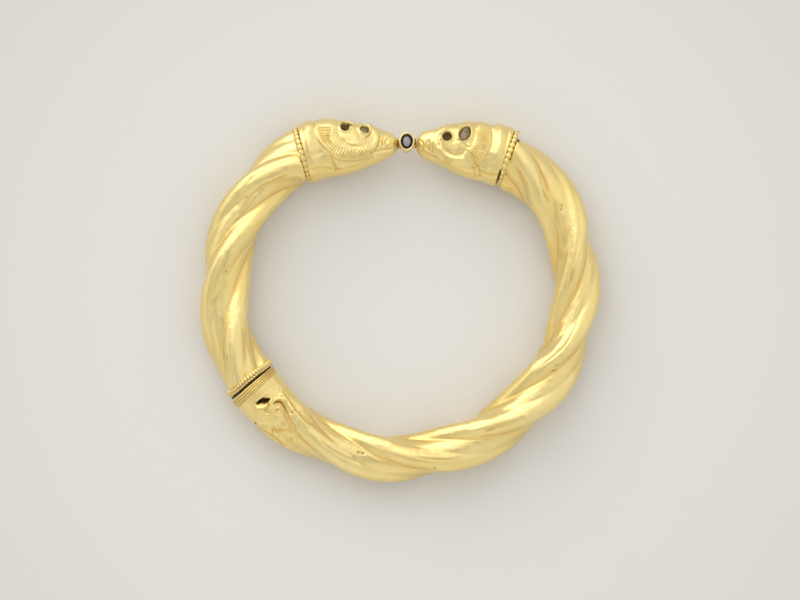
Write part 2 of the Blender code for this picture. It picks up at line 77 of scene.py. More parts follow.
# Degrees round the hoop over which a seam's lean and shift die out, and the flutes before the collar
LEAN_FADE = 18
SEAM_LEAN_FADE = 16
SHIFT_FADE = 14
PLAIN_FROM, PLAIN_TO, PLAIN_SHARE = 16, 4, 0.8

# Seams, wires and the collar
COLLET_ANGLE = 2.45
COLLET_OUT = 0.05
RIGHT_REACH = 2.195
LEFT_REACH = 2.13
RIGHT_HEAD_LENGTH = 18.25
LEFT_HEAD_LENGTH = 19.01
RIGHT_LEAN = -7.0
LEFT_LEAN = 8.6
SEAM_LEAN = -5.0
NECK_SHIFT = 0.6
WAIST = 4.7
WAIST_FLAT = 0.93
GAP = 0.1
HALF_GAP = GAP * 0.6
SEAM_BEAD = 0.35
SEAM_WIRE_AT = 243.6
SEAM_RING_AT = 242.35
COLLAR_FROM = 238.25
COLLAR_TO = 241.35
COLLAR_RADIUS = 5.6
COLLAR_GROOVE = 0.26

# The heads: share of the length from the muzzle, outer edge, inner edge, half thickness
HEAD = ((0.0, 1.35, 1.75, 1.6), (0.03, 1.9, 2.45, 2.15), (0.1, 2.55, 3.15, 2.7), (0.2, 3.35, 4.1, 3.3),
        (0.3, 4.0, 4.85, 4.0), (0.4, 4.6, 5.45, 4.6), (0.5, 5.2, 5.85, 4.75), (0.6, 5.8, 6.15, 4.85),
        (0.7, 6.0, 6.2, 4.95), (0.8, 6.1, 6.1, 4.95), (0.9, 6.45, 6.05, 5.3), (0.96, 6.3, 5.85, 5.2),
        (1.0, 5.9, 5.4, 4.9))
HEAD_SQUARENESS = 2.3
# What each head's outline is off the common one: share, outer edge, inner edge
HEAD_TRIM = {
    "left_head": ((0.0, -0.1, -0.1), (0.2, -0.2, -0.1), (0.3, -0.15, -0.2), (0.45, -0.25, -0.15), (0.58, -0.4, -0.25),
                  (0.72, -0.25, -0.4), (0.85, 0.0, -0.4), (1.0, 0.1, -0.35)),
    "right_head": ((0.0, 0.1, 0.1), (0.1, 0.2, 0.2), (0.2, -0.1, -0.15), (0.3, 0.1, -0.4), (0.42, 0.0, -0.2),
                   (0.54, -0.3, -0.15), (0.65, -0.4, -0.2), (0.76, -0.3, -0.25), (0.86, 0.0, -0.15), (1.0, 0.2, -0.15)),
}
# Outer line of each mane, from the crown round its back to the throat and up before the eye
MANE_LINE = {
    "left_head": ((313.5, 118), (314.5, 124), (315, 130), (317, 138), (321, 145), (328, 152), (333, 157), (340, 160.5),
                  (350, 161.3), (358, 160.5), (368, 157.5), (376, 150), (379, 142), (379.5, 134), (377, 126)),
    "right_head": ((482, 117), (487, 123), (490.5, 130), (491.5, 138), (490.5, 146), (487, 154), (482, 162), (474, 168),
                   (463, 168), (452, 165), (443, 159), (438, 150), (436, 140), (438, 131), (443, 125)),
}
# Along each of these lines: where the strands begin and end inside it, and their slant
HAIR = {
    "left_head": ((0, 0.75, 3.4, 0), (4, 0.75, 3.25, 0), (5, 0.75, 2.75, 0), (6, 0.75, 2.35, 0), (7.7, 0.75, 2.1, 2),
                  (9, 0.7, 2.1, 8), (10.6, 0.6, 2.3, 18), (12.6, 0.5, 2.4, 30), (14.2, 0.45, 2.3, 38),
                  (16.3, 0.4, 1.9, 48), (18, 0.4, 1.0, 50)),
    "right_head": ((0, 0.4, 3.0, 20), (6, 0.4, 3.2, 25), (8, 0.4, 3.3, 12), (10, 0.5, 3.6, 0), (12, 0.4, 3.2, -10),
                   (14, 0.4, 2.5, -10)),
}
# The strands of the left mane spread from this line
HAIR_GUIDE = ((318, 112), (318, 118), (318, 124), (318, 132), (318.6, 140), (323, 147.5), (331, 153.5), (340, 157),
              (350, 158.3), (360, 157.6), (369, 155), (376, 150))
HAIR_SPAN = {"left_head": (1.4, 2.6, 15.8, 18.2), "right_head": (1.5, 2.6, 12.2, 13.8)}
HAIR_PITCH = {"left_head": 0.54, "right_head": 0.58}
MANE_HEIGHT = {"left_head": 0.3, "right_head": 0.26}
MANE_ENDS = {"left_head": (16.5, 19.5), "right_head": (12.0, 15.0)}
NECK_EDGE = 0.42
WAIST_FILL = 0.3
SHOULDER = 0.32
FINE_STEP = 0.11
NECK_RIM = 0.3
NOSE_ROUND = 0.25
# What the arms' outer and inner edges are off the fluted form, by distance along the hoop
OUTER_TRIM = ((24, 0.0), (33, 0.0), (38, 0.22), (41, 0.25), (44, -0.3), (47, -0.05), (50, 0.0), (95, 0.0), (97.5, 0.2),
              (99.5, 0.0), (102, -0.3), (105, -0.1), (108, 0.0), (118, 0.0), (122, -0.28), (130, -0.25), (135, 0.0),
              (142, 0.45), (144, 0.45), (147, 0.0), (164, 0.05), (167, 0.28), (171, 0.1), (178, -0.1), (186, 0.2),
              (190, -0.2))
INNER_TRIM = ((24, 0.2), (26, -0.1), (29, 0.0), (32.5, 0.3), (34.5, -0.1), (37, -0.35), (41, -0.5), (45, -0.35),
              (49, 0.0), (53, 0.15), (57, -0.15), (61, -0.45), (65, -0.7), (68, 0.0), (70.5, 0.2), (73, -0.1),
              (77, -0.45), (83, -0.52), (87, -0.2), (93, -0.28), (103, -0.4), (107, 0.15), (111, 0.08), (115, -0.25),
              (123, -0.38), (126, 0.0), (129, 0.45), (132, 0.05), (140, 0.1), (145, -0.2), (149, -0.15), (152, 0.22),
              (155, 0.15), (160, 0.0), (167, -0.1), (171, 0.28), (174, 0.1), (178, -0.32), (185, -0.42), (188, 0.1),
              (191, 0.9))
# Creases and ridges of the arms: height, width, darkening (dirt and painted shade), warmth (painted warm shade), then
# places along the hoop and outward of its middle
LONG_ARM_LINES = (
    (-0.16, 0.3, 0.03, 0.5, (26.8, 3.2), (28.7, 1.9), (30.0, 0.6), (33.0, -0.5)),
    (0.1, 0.35, 0, 0, (28.0, 3.0), (29.2, 1.9), (31.2, 0.2)),
    (-0.16, 0.2, 0.25, 0.6, (31.0, -0.1), (32.6, -0.6), (34.2, -0.9)),
    (-0.1, 0.55, 0.0, 0.8, (23.3, 0.2), (26.0, -1.4), (29.0, -3.1)),
    (-0.13, 0.26, 0.03, 0.4, (33.0, 4.9), (37.3, 3.9), (41.3, 2.4), (45.0, 0.7), (47.7, -0.3), (52.0, -1.3)),
    (-0.1, 0.2, 0.22, 0.5, (48.5, -0.5), (51.3, -1.2)),
    (-0.1, 0.4, 0.0, 0.8, (37.7, 0.2), (40.7, -0.6), (44.7, -2.1), (46.7, -2.8)),
    (0.07, 0.22, 0, 0, (35.0, -2.1), (41.3, -3.1), (46.7, -3.8)),
    (-0.08, 0.22, 0.0, 0.4, (49.3, 1.9), (52.0, 0.7), (54.7, -0.4), (56.7, -1.6)),
    (-0.15, 0.22, 0.14, 0.6, (53.3, 1.7), (58.5, 1.0), (63.3, 0.2), (66.7, -1.1), (71.0, -2.8)),
    (0.08, 0.4, 0, 0, (54.0, 1.2), (59.3, 0.0), (62.0, -0.7), (67.3, -3.1)),
    (-0.1, 0.3, 0.0, 0.8, (55.3, -0.3), (60.0, -1.8), (63.3, -2.1)),
    (-0.14, 0.22, 0.1, 0.5, (80.0, 1.7), (83.0, 0.8), (86.0, -0.3)),
    (-0.16, 0.25, 0.18, 0.6, (94.0, 2.5), (97.0, 1.8), (100.0, 1.0), (103.3, -0.1)),
    (0.1, 0.3, 0, 0, (98.5, -0.8), (105, -2.0), (115, -3.0)),
    (-0.16, 0.22, 0.18, 0.6, (113.0, 1.8), (118.0, 1.2), (122.5, 0.2)),
    (0.1, 0.25, 0, 0, (115.0, -0.7), (122.0, -1.7)),
    (-0.12, 0.28, 0.1, 0.9, (118.0, -0.5), (125.0, -2.0), (135.0, -3.7)),
)
# Pits of the long arm: place, half size, turn, depth, and darkening (dirt and painted shade in the pit)
LONG_ARM_PITS = (
    ((35.85, 1.05), (0.24, 0.12), -50, 0.16, 0.7), ((36.25, 0.8), (0.22, 0.11), -50, 0.16, 0.7),
    ((36.6, 0.5), (0.22, 0.11), -50, 0.16, 0.7), ((68.3, 0.2), (0.35, 0.12), -45, 0.14, 0.5),
    ((69.6, 0.3), (0.5, 0.12), -50, 0.14, 0.5), ((89.2, -2.3), (1.7, 0.4), -8, 0.12, 0.0),
    ((99.7, 2.8), (0.18, 0.16), 0, 0.12, 0.6), ((113.6, -0.1), (0.3, 0.28), 0, 0.16, 0.5),
    ((114.5, -0.1), (0.28, 0.3), 0, 0.16, 0.5),
)
# Creases and ridges of the short arm, in the same columns; their darkening and warmth are painted shade as well
SHORT_ARM_LINES = (
    (-0.16, 0.4, 0.08, 0.1, (142.5, 4.0), (144.2, 3.0), (146.0, 2.3), (148.5, 1.9)),
    (-0.08, 0.22, 0.0, 0.5, (144.0, -1.5), (149.0, -2.6), (157.0, -3.8)),
    (0.07, 0.3, 0, 0, (145.0, -1.0), (150.0, -2.1), (157.0, -3.2)),
    (-0.1, 0.3, 0.16, 0.2, (163.0, 0.9), (165.5, 0.3), (168.0, 0.0)),
    (0.12, 0.36, 0, 0, (176.0, 0.6), (181.0, 1.3), (186.0, -0.5), (190.0, -0.9)),
    (-0.14, 0.25, 0.05, 0.6, (175.0, 0.0), (181.0, 0.3), (186.0, -1.3), (190.0, -1.9)),
    (-0.14, 0.28, 0.04, 0.4, (176.0, 2.8), (184.0, 2.4), (191.0, 0.4)),
)
SHORT_ARM_PITS = (
    ((164.0, -0.2), (0.3, 0.15), 40, 0.1, 0.4), ((147.2, 1.9), (0.5, 0.25), -20, 0.08, 0.15),
)

# Collet and stone
COLLET_HALF = (1.5, 1.86)
COLLET_BOTTOM = 2.7
COLLET_TOP = 8.2
COLLET_TILT = 7.0
STONE_HALF = (1.12, 1.45)

# Brighter and darker parts of the tent round the bangle: azimuth, elevation, reach, share of change
TENT = ((-40, 44, 0.44, 0.85), (0, 42, 0.34, 0.4), (-48, 9, 0.34, 1.1), (-5, 7, 0.34, 1.3), (180, 77, 0.22, -0.8),
        (272, 45, 0.36, -0.6), (12, 24, 0.22, -0.6), (135, 30, 0.45, -0.25), (225, 36, 0.4, -0.2))

# Metres from the camera to the bangle's middle plane, and across the frame there
CAMERA_DISTANCE = 1.3
FRAME_WIDTH = 0.16
STUDIO_GLOW = 0.97


# Curves and places

def curve(table, x):
    """Smooth curve through the table's points, level beyond its ends."""
    xs, ys = (np.array(column, float) for column in zip(*table))
    x = np.clip(np.asarray(x, float), xs[0], xs[-1])
    ahead, behind = np.r_[1:len(xs), len(xs) - 1], np.r_[0, 0:len(xs) - 1]
    slope = (ys[ahead] - ys[behind]) / (xs[ahead] - xs[behind])
    i = np.clip(np.searchsorted(xs, x, side="right") - 1, 0, len(xs) - 2)
    w = xs[i + 1] - xs[i]
    t = (x - xs[i]) / w
    return (ys[i] * (1 + 2 * t) * (1 - t) ** 2 + slope[i] * w * t * (1 - t) ** 2
            + ys[i + 1] * t * t * (3 - 2 * t) + slope[i + 1] * w * t * t * (t - 1))


def ramp(x, low, high):
    """0 below low, 1 above high, smooth between."""
    t = np.clip((np.asarray(x, float) - low) / (high - low), 0.0, 1.0)
    return t * t * (3 - 2 * t)


def centre(angle):
    angle = np.asarray(angle, float)
    r = PLAN_RADIUS + sum(h * np.cos(n * np.radians(angle - crest)) for n, h, crest in PLAN_WAVES)
    a = np.radians(angle)
    return np.stack((r * np.sin(a), PLAN_CENTRE_Y + r * np.cos(a), np.full_like(a, AXIS_HEIGHT)), -1)


def axes(angle, lean=0.0):
    """Outward and forward directions of the section plane; forward is clockwise."""
    forward = centre(np.asarray(angle) + 0.05) - centre(np.asarray(angle) - 0.05)
    forward /= np.linalg.norm(forward, axis=-1, keepdims=True)
    outward = np.stack((-forward[..., 1], forward[..., 0], 0 * forward[..., 0]), -1)
    c, s = np.cos(np.radians(lean))[..., None], np.sin(np.radians(lean))[..., None]
    return outward * c + forward * s, forward * c - outward * s


# Two turns of the middle line
DEGREES = np.arange(7201) / 10
ARC = np.r_[0.0, np.cumsum(np.linalg.norm(np.diff(centre(DEGREES), axis=0), axis=1))]
CENTRE_LINE = centre(DEGREES[:3600])[:, :2]


def length_at(angle):
    return np.interp(angle, DEGREES, ARC)


def travel(start, distance):
    """Angle that lies the given distance clockwise of the start."""
    return np.interp(length_at(start) + distance, ARC, DEGREES)


RIGHT_TIP = travel(COLLET_ANGLE, RIGHT_REACH)
LEFT_TIP = travel(COLLET_ANGLE + 360, -LEFT_REACH)
RIGHT_SEAM = travel(RIGHT_TIP, RIGHT_HEAD_LENGTH)
LEFT_SEAM = travel(LEFT_TIP, -LEFT_HEAD_LENGTH)
COLLET_AT = centre(COLLET_ANGLE) + axes(COLLET_ANGLE, 0.0)[0] * COLLET_OUT


def seen(x, y):
    """Place in plan of a point of the photograph's frame, 5 points to the millimetre."""
    return (x - FRAME_MIDDLE[0]) * POINT, (FRAME_MIDDLE[1] - y) * POINT


def along(x, y, points):
    """Distance along a smooth line through points of the photograph's frame, and distance to its left."""
    k = np.arange(len(points))
    fine = np.linspace(0, len(points) - 1, 6 * len(points) - 5)
    px, py = seen(*(curve(list(zip(k, (p[j] for p in points))), fine) for j in (0, 1)))
    best, run, side, gone = np.full(x.shape, 1e9), np.zeros(x.shape), np.zeros(x.shape), 0.0
    for ax, ay, bx, by in zip(px, py, px[1:], py[1:]):
        dx, dy = bx - ax, by - ay
        size = np.hypot(dx, dy)
        t = np.clip(((x - ax) * dx + (y - ay) * dy) / size ** 2, 0, 1)
        d = np.hypot(x - ax - t * dx, y - ay - t * dy)
        near = d < best
        best = np.where(near, d, best)
        run = np.where(near, gone + t * size, run)
        side = np.where(near, np.sign(dx * (y - ay) - dy * (x - ax)), side)
        gone += size
    return run, best * side


def on_hoop(x, y):
    """The same as seen, as distance along the hoop and distance outward of its middle line."""
    pairs = []
    for place in zip(*(np.atleast_1d(v) for v in seen(x, y))):
        gap = np.array(place) - CENTRE_LINE
        k = np.argmin(np.hypot(gap[:, 0], gap[:, 1]))
        pairs.append((ARC[k], gap[k] @ axes(DEGREES[k])[0][:2]))
    s, off = np.array(pairs).T
    return (s, off) if np.ndim(x) else (s[0], off[0])


def ripple(x, y, seed, size):
    """Small irregular waves, the same every time."""
    total = 0
    for k in range(5):
        turn = seed * 1.7 + k * 2.4
        wave = size * (0.7 + 0.25 * k)
        total = total + np.sin((x * cos(turn) + y * sin(turn)) * 2 * pi / wave + seed * (k + 1))
    return total / 5


# Meshes

def sheet(name, surface, marks=None):
    """A grid of faces laid over the surface's rows and columns of points, its meeting edges welded."""
    rows, columns = surface.shape[0] - 1, surface.shape[1] - 1
    bm = bmesh.new()
    bmesh.ops.create_grid(bm, x_segments=rows, y_segments=columns, size=0.5)
    mesh = bpy.data.meshes.new(name)
    bm.to_mesh(mesh)
    bm.free()
    flat = np.empty(len(mesh.vertices) * 3)
    mesh.vertices.foreach_get("co", flat)
    i = np.rint((flat[0::3] + 0.5) * rows).astype(int)
    j = np.rint((flat[1::3] + 0.5) * columns).astype(int)
    mesh.vertices.foreach_set("co", (surface[i, j] * MM).ravel())
    for title, values in (marks or {}).items():
        mesh.attributes.new(title, "FLOAT", "POINT").data.foreach_set("value", values[i, j].astype(np.float32))
    bm = bmesh.new()
    bm.from_mesh(mesh)
    rim = [v for v in bm.verts if v.is_boundary]
    bmesh.ops.remove_doubles(bm, verts=rim, dist=1e-7)
    bmesh.ops.recalc_face_normals(bm, faces=bm.faces)
    bm.to_mesh(mesh)
    bm.free()
    return mesh


def piece(name, mesh, finish, *nodes, slot="gold"):
    """Shows a mesh in place of the solids that it stands for."""
    mesh.materials.clear()
    mesh.materials.append(finish)
    mesh.shade_smooth()
    thing = bpy.data.objects.new(name, mesh)
    bpy.context.collection.objects.link(thing)
    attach(thing, "root")
    if nodes:
        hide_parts(*nodes)
    return thing


def normals(surface, closed=True):
    """Unit normals of a tube's surface, away from its middle line."""
    forward = np.gradient(surface, axis=0)
    padded = np.concatenate((surface[:, -2:-1], surface, surface[:, 1:2]), 1) if closed else surface
    round_ = np.gradient(padded, axis=1)
    round_ = round_[:, 1:-1] if closed else round_
    n = np.cross(round_, forward)
    n /= np.maximum(np.linalg.norm(n, axis=-1, keepdims=True), 1e-9)
    middle = surface[:, :-1].mean(1, keepdims=True)
    if ((surface - middle) * n).sum() < 0:
        n = -n
    return n


def closed_end(surface, end):
    """Adds a row that draws the end of a tube together to a point."""
    row = surface[end]
    middle = np.broadcast_to(row[:-1].mean(0), row.shape)[None]
    return np.concatenate((middle, surface), 0) if end == 0 else np.concatenate((surface, middle), 0)


def widen(marks, end):
    """The same extra row for the marks of a tube."""
    return {k: (np.concatenate((v[:1], v), 0) if end == 0 else np.concatenate((v, v[-1:]), 0))
            for k, v in marks.items()}


# The arms

def turn(crests, angle):
    """Rotation of the fluted section: the k-th lobe lies on the outer edge at crests[k]."""
    crests = np.array(crests, float)
    k = np.clip(np.searchsorted(crests, angle, side="right") - 1, 0, len(crests) - 2)
    return LOBE * (k + (angle - crests[k]) / (crests[k + 1] - crests[k]))


def arm_lean(angle):
    """Degrees that the section's plane leans from square to the middle line."""
    right = RIGHT_LEAN * (1 - ramp(angle, RIGHT_SEAM, RIGHT_SEAM + LEAN_FADE))
    left = LEFT_LEAN * ramp(angle, LEFT_SEAM - LEAN_FADE, LEFT_SEAM)
    before = ramp(angle, COLLAR_FROM - SEAM_LEAN_FADE, COLLAR_FROM)
    after = ramp(angle, SEAM_WIRE_AT, SEAM_WIRE_AT + SEAM_LEAN_FADE)
    return right + left + SEAM_LEAN * before * (1 - after)


def arm_shift(angle):
    """How far the section lies outward of the middle line."""
    right = NECK_SHIFT * (1 - ramp(angle, RIGHT_SEAM, RIGHT_SEAM + SHIFT_FADE))
    left = NECK_SHIFT * ramp(angle, LEFT_SEAM - SHIFT_FADE, LEFT_SEAM)
    return np.where(angle < 180, right, left)


def flute(offset):
    """Radius of the section, and how deep in a groove and a valley it is, by degrees from a lobe's crest."""
    t = np.mod(offset - FLUTE_FROM, LOBE) + FLUTE_FROM
    groove = np.exp(-((t - GROOVE_AT) / GROOVE_WIDTH) ** 2)
    valley = np.exp(-((np.mod(t - VALLEY_AT + LOBE / 2, LOBE) - LOBE / 2) / VALLEY_WIDTH) ** 2)
    return curve(FLUTE, t) - GROOVE_DEPTH * groove, groove, valley


def shoulder(distance, waist_length):
    """Share of the arm's own section, which rounds down to the waist at its end."""
    over = np.clip((distance - waist_length) / SHOULDER, 0, 1)
    return np.sqrt(1 - (1 - over) ** 2)


def arm_spacing(length, waist_start, waist_end, step, fine_from, fine_step):
    """Distances of the sections from an arm's start, closer together on its shoulders."""
    close = (SHOULDER + 0.05) * (1 - np.cos(np.linspace(0, pi / 2, 9)))
    parts = []
    first, last = 0.0, length
    if waist_start:
        parts.append(np.r_[0.0, waist_start + close])
        first = waist_start + close[-1]
    if waist_end:
        last = length - waist_end - close[-1]
    between = min(fine_from, last)
    parts.append(np.linspace(first, between, round((between - first) / step) + 1)[1 if waist_start else 0:])
    if between < last:
        parts.append(np.linspace(between, last, round((last - between) / fine_step) + 1)[1:])
    if waist_end:
        parts.append(np.r_[length - waist_end - close[::-1][1:], length])
    return np.concatenate(parts)


def make_arm(name, crests, start, end, waist_start, waist_end, plain_at, step, fine_from, relief, finish):
    """One twisted arm; its flutes fade out towards plain_at and its sections lie closer past fine_from."""
    length = length_at(end) - length_at(start)
    d = arm_spacing(length, waist_start, waist_end, step, fine_from - length_at(start), FINE_STEP)
    angle = travel(start, d)[:, None]
    theta = np.r_[np.linspace(0, 180, 128, endpoint=False), np.linspace(180, 360, 29)][None, :]
    offset = theta - turn(crests, angle)
    radius, groove, valley = flute(offset)
    theta = np.radians(theta)
    fade = PLAIN_SHARE * ramp(angle, plain_at - PLAIN_FROM, plain_at - PLAIN_TO) if plain_at else 0 * angle
    full = curve(SWELL, angle) * (radius * (1 - fade) + ROUND_RADIUS * fade)
    share = np.ones_like(angle)
    if waist_start:
        share = share * shoulder(d[:, None], waist_start)
    if waist_end:
        share = share * shoulder(length - d[:, None], waist_end)
    low = WAIST + WAIST_FILL
    across = np.cos(theta) * (full * share + low * (1 - share))
    up = np.sin(theta) * (full * share + low * WAIST_FLAT * (1 - share))
    run = length_at(angle)
    trim = curve(OUTER_TRIM, run) * ramp(across, 1, 4) - curve(INNER_TRIM, run) * ramp(-across, 1, 4)
    across = across + share * trim
    lean, reach = arm_lean(angle), arm_shift(angle) + across
    outward, _ = axes(angle, lean)
    surface = centre(angle) + outward * reach[..., None] + UP * up[..., None]
    n = normals(surface)
    upper = ramp(n[..., 2], 0.0, 0.35) * share
    r = Relief(run + reach * np.sin(np.radians(lean)), reach, lambda *place: place)
    relief(r)
    o = np.radians(offset)
    streaks = (0.02 * np.sin(7 * o + 2.0 * np.sin(run / 9) + 1) + 0.016 * np.sin(13 * o + 2.5 * np.sin(run / 6 + 2))
               + 0.01 * np.sin(24 * o + 3.0 * np.sin(run / 5 + 4))) * (0.6 + 0.6 * ripple(r.x, r.y, 9.0, 9.0))
    surface = surface + n * ((r.rise + streaks) * upper)[..., None]
    # The flutes' grooves and valleys are painted orange as warm shade, and the relief's creases darker as dirt and
    # painted shade.
    marks = {"warm_shade": np.clip((groove * 0.3 + valley * 0.8) * (1 - fade) * share + r.warm_shade * upper, 0, 1.5),
             "grime": np.clip(r.grime * upper, 0, 1)}
    surface[..., 2] = np.maximum(surface[..., 2], 0)
    surface[:, -1] = surface[:, 0]
    for stop in (0, -1):
        surface = closed_end(surface, stop)
        marks = widen(marks, stop)
    # The end faces at the arm's start are painted dark brown as the shade in the gap at the seam.
    marks["grime"][:4] = 0.72 + 0.2 * np.sin(3 * theta + 1) * np.sin(11 * theta)
    return piece(name + "_fine", sheet(name + "_fine", surface, marks), finish, name)


def scratches(r, count, seed, s_range, off_range, length, slant, depth):
    """Short fine scratches, always the same ones."""
    for k in range(count):
        a = (sin(seed + k * 12.9898) * 43758.5453) % 1
        b = (sin(seed + k * 78.233) * 12543.123) % 1
        s, off = s_range[0] + a * (s_range[1] - s_range[0]), off_range[0] + b * (off_range[1] - off_range[0])
        reach = length * (0.5 + (a * 7.7) % 1)
        way = radians(slant + 24 * ((b * 9.1) % 1 - 0.5))
        # each scratch is painted a little darker, as dirt and shade in it
        r.fold(-depth, 0.07, (s, off), (s + reach * cos(way), off + reach * sin(way)), dirt_and_shade=0.05)


def worn_surface(r, seed):
    """Hammered and worn look that the whole band has."""
    r.rise += (0.045 * ripple(r.x, r.y, seed, 6.0) + 0.02 * ripple(r.x, r.y, seed + 1, 2.4)
               + 0.006 * ripple(r.x, r.y, seed + 2, 0.9))


def long_arm_relief(r):
    """Places are distances along the hoop from the top of the picture, and distances outward of its middle line."""
    worn_surface(r, 1.0)
    r.strength, r.taper = 0.85, 0.6
    for height, width, dirt_and_shade, warm, *points in LONG_ARM_LINES:
        r.fold(height, width * 1.25, *points, dirt_and_shade=dirt_and_shade, warm=warm)
    for at, half, turned, depth, dirt_and_shade in LONG_ARM_PITS:
        r.add(r.oval(at, half, turned, 0.5, 0.12), -depth, dirt_and_shade)
    r.add(r.oval((87.0, -0.3), (1.0, 0.3), -12, 0.7), -0.08, 0.25, 0.9)
    r.add(r.oval((112.4, 0.0), (0.9, 0.5), 0, 0.8), 0.06)
    r.add(r.oval((61.5, 1.2), (1.8, 0.8), -20, 0.7) * ripple(r.x, r.y, 7.0, 0.7), 0.05)
    for k in range(5):
        r.fold(-0.07, 0.1, (124 + 0.45 * k, -2.6), (124.2 + 0.45 * k, -3.3), dirt_and_shade=0.08)
    scratches(r, 14, 1.0, (33, 41), (-3, 0.2), 1.6, -35, 0.03)
    scratches(r, 16, 2.0, (55, 80), (-2.5, 3.0), 1.5, -25, 0.025)
    scratches(r, 16, 3.0, (95, 126), (-2.5, 3.0), 1.5, -25, 0.025)

    # a small hole by the neck wire: a shallow dent painted near black as the shade inside it
    r.add(r.oval((21.95, 4.6), (0.28, 0.3), 0, 0.4), -0.1, 1.3)

    # the torn place beside the collar, in points of the photograph's frame
    near = ramp(r.x, 124.5, 128) * (1 - ramp(r.x, 137.3, 138))
    r.rise += near * (0.1 * ripple(r.x, r.y, 11.0, 2.6) + 0.05 * ripple(r.x, r.y, 12.0, 1.1))
    r.frame, r.strength, r.taper = on_hoop, 1.6, 0.2
    r.add(r.oval((263.6, 410.5), (1.75, 1.55), 0, 0.45, 0.05), 0.3)
    r.fold(0.45, 0.42, (257, 407.5), (261, 406.8), (265.5, 405.7), (269, 402.5))
    r.fold(0.0, 0.3, (257, 396), (262, 393.5), (267, 393), warm=0.6)
    # warm patches over the crumpled place, painted as shade on its bumps
    r.warm_shade += near * 0.8 * np.clip(ripple(r.x, r.y, 13.0, 1.8), 0, 1)
    # the tear itself: a dent painted near black as the shade inside the hole, its lip painted dark as well
    hole = np.maximum(r.oval((265.8, 400.2), (1.0, 0.42), 60, 0.22, 0.14, 5.0),
                      r.oval((261.3, 400.6), (0.95, 0.3), 84, 0.25, 0.14, 6.0))
    r.add(hole, -1.2, 1.3)
    r.fold(-0.25, 0.13, (256.5, 403.5), (259, 401.5), (261, 400.5), dirt_and_shade=0.7, warm=0.8)
    # dents with raised rims; their hollows and the creases below are painted darker and warmer as shade
    for at, size, depth in (((267.8, 411), 0.62, 0.2), ((279, 410), 0.45, 0.14), ((291.5, 412), 0.45, 0.14),
                            ((274, 429.5), 0.5, 0.16), ((280, 428), 0.4, 0.1), ((291, 440), 0.45, 0.14),
                            ((256.6, 422.6), 0.28, 0.16)):
        r.add(r.oval(at, (size * 1.4, size * 1.4), 0, 0.35, 0.1), 0.16)
        r.add(r.oval(at, (size * 0.8, size * 0.8), 0, 0.5, 0.1), -depth * 1.7, 0.06, 0.8)
    r.add(r.oval((256.5, 422.5), (0.22, 0.3), 0, 0.4, 0.1), -0.1, 0.6)
    r.fold(-0.34, 0.2, (274, 403.5), (277.5, 401.6), (281, 401.8), (283.5, 405), (287, 413.5), dirt_and_shade=0.4, warm=1.0)
    r.fold(0.2, 0.25, (275, 399.5), (280, 398.5), (284, 400.5))
    r.fold(-0.12, 0.3, (277, 404), (277.5, 409), (276, 414), warm=0.8)
    r.fold(0.26, 0.42, (281, 393), (287, 400), (293, 409), (301, 419), (309, 428))
    r.fold(-0.14, 0.26, (287, 413), (290, 420), (296, 428), warm=0.5)
    r.fold(0.26, 0.26, (257, 421), (264, 427), (271, 431.5), (279, 437), (287, 443.5))
    r.fold(-0.2, 0.22, (258, 426), (266, 432.5), (276, 439.5), (284, 446), warm=1.2, dirt_and_shade=0.14)
    r.fold(-0.16, 0.26, (272, 433), (282, 430), (292, 431.5), warm=0.9, dirt_and_shade=0.08)
    r.fold(-0.1, 0.18, (311, 416), (316, 421), (321, 427), warm=0.6, dirt_and_shade=0.1)


def short_arm_relief(r):
    worn_surface(r, 3.0)
    r.strength, r.taper = 0.85, 0.6
    for height, width, dirt_and_shade, warm, *points in SHORT_ARM_LINES:
        r.fold(height, width * 1.25, *points, dirt_and_shade=dirt_and_shade, warm=warm)
    for k in range(6):
        r.fold(-0.07, 0.09, (163.1 + 0.38 * k, 0.35 - 0.08 * k), (163.3 + 0.38 * k, -0.5 - 0.08 * k), dirt_and_shade=0.12)
    for at, half, turned, depth, dirt_and_shade in SHORT_ARM_PITS:
        r.add(r.oval(at, half, turned, 0.5, 0.12), -depth, dirt_and_shade)
    scratches(r, 22, 5.0, (145, 188), (-3, 3.5), 1.6, -20, 0.025)


# Wires and the collar

def wire(name, angle, lean, shift, bead, thin, beads, finish, drop=0.0, dirt_and_shade=0.2, wobble=0.0):
    """A wire round the waist, drawn in between its beads."""
    outward, forward = axes(angle, lean)
    middle = centre(angle) + outward * shift
    rows, columns = (beads * 10, 14) if beads else (180, 12)
    phi = np.linspace(0, 2 * pi, rows + 1)[:, None, None]
    j = np.linspace(0, 2 * pi, columns + 1)[None, :, None]
    across, up = WAIST + GAP + bead - drop, WAIST * WAIST_FLAT + GAP + bead - drop
    radial = outward * np.cos(phi) + UP * np.sin(phi)
    at = middle + outward * across * np.cos(phi) + UP * up * np.sin(phi)
    at = at + forward * wobble * (np.sin(4 * phi + 1) + 0.7 * np.sin(9 * phi + 2))
    size = bead
    if beads:
        swing = np.abs(np.cos(phi * beads / 2))
        size = thin + (bead - thin) * (1 - (1 - swing) ** 2.2)
    surface = at + (radial * np.cos(j) + forward * np.sin(j)) * size
    surface[-1], surface[:, -1] = surface[0], surface[:, 0]
    surface[..., 2] = np.maximum(surface[..., 2], 0)
    # Between the beads the wire is painted dark and warm as the shade there.
    grime = np.broadcast_to(dirt_and_shade * (1 - (size - thin) / (bead - thin)) if beads else dirt_and_shade + 0 * phi,
                            surface.shape[:2] + (1,))
    marks = {"grime": grime[..., 0], "warm_shade": 2 * grime[..., 0]}
    return piece(name + "_fine", sheet(name + "_fine", surface, marks), finish, name)


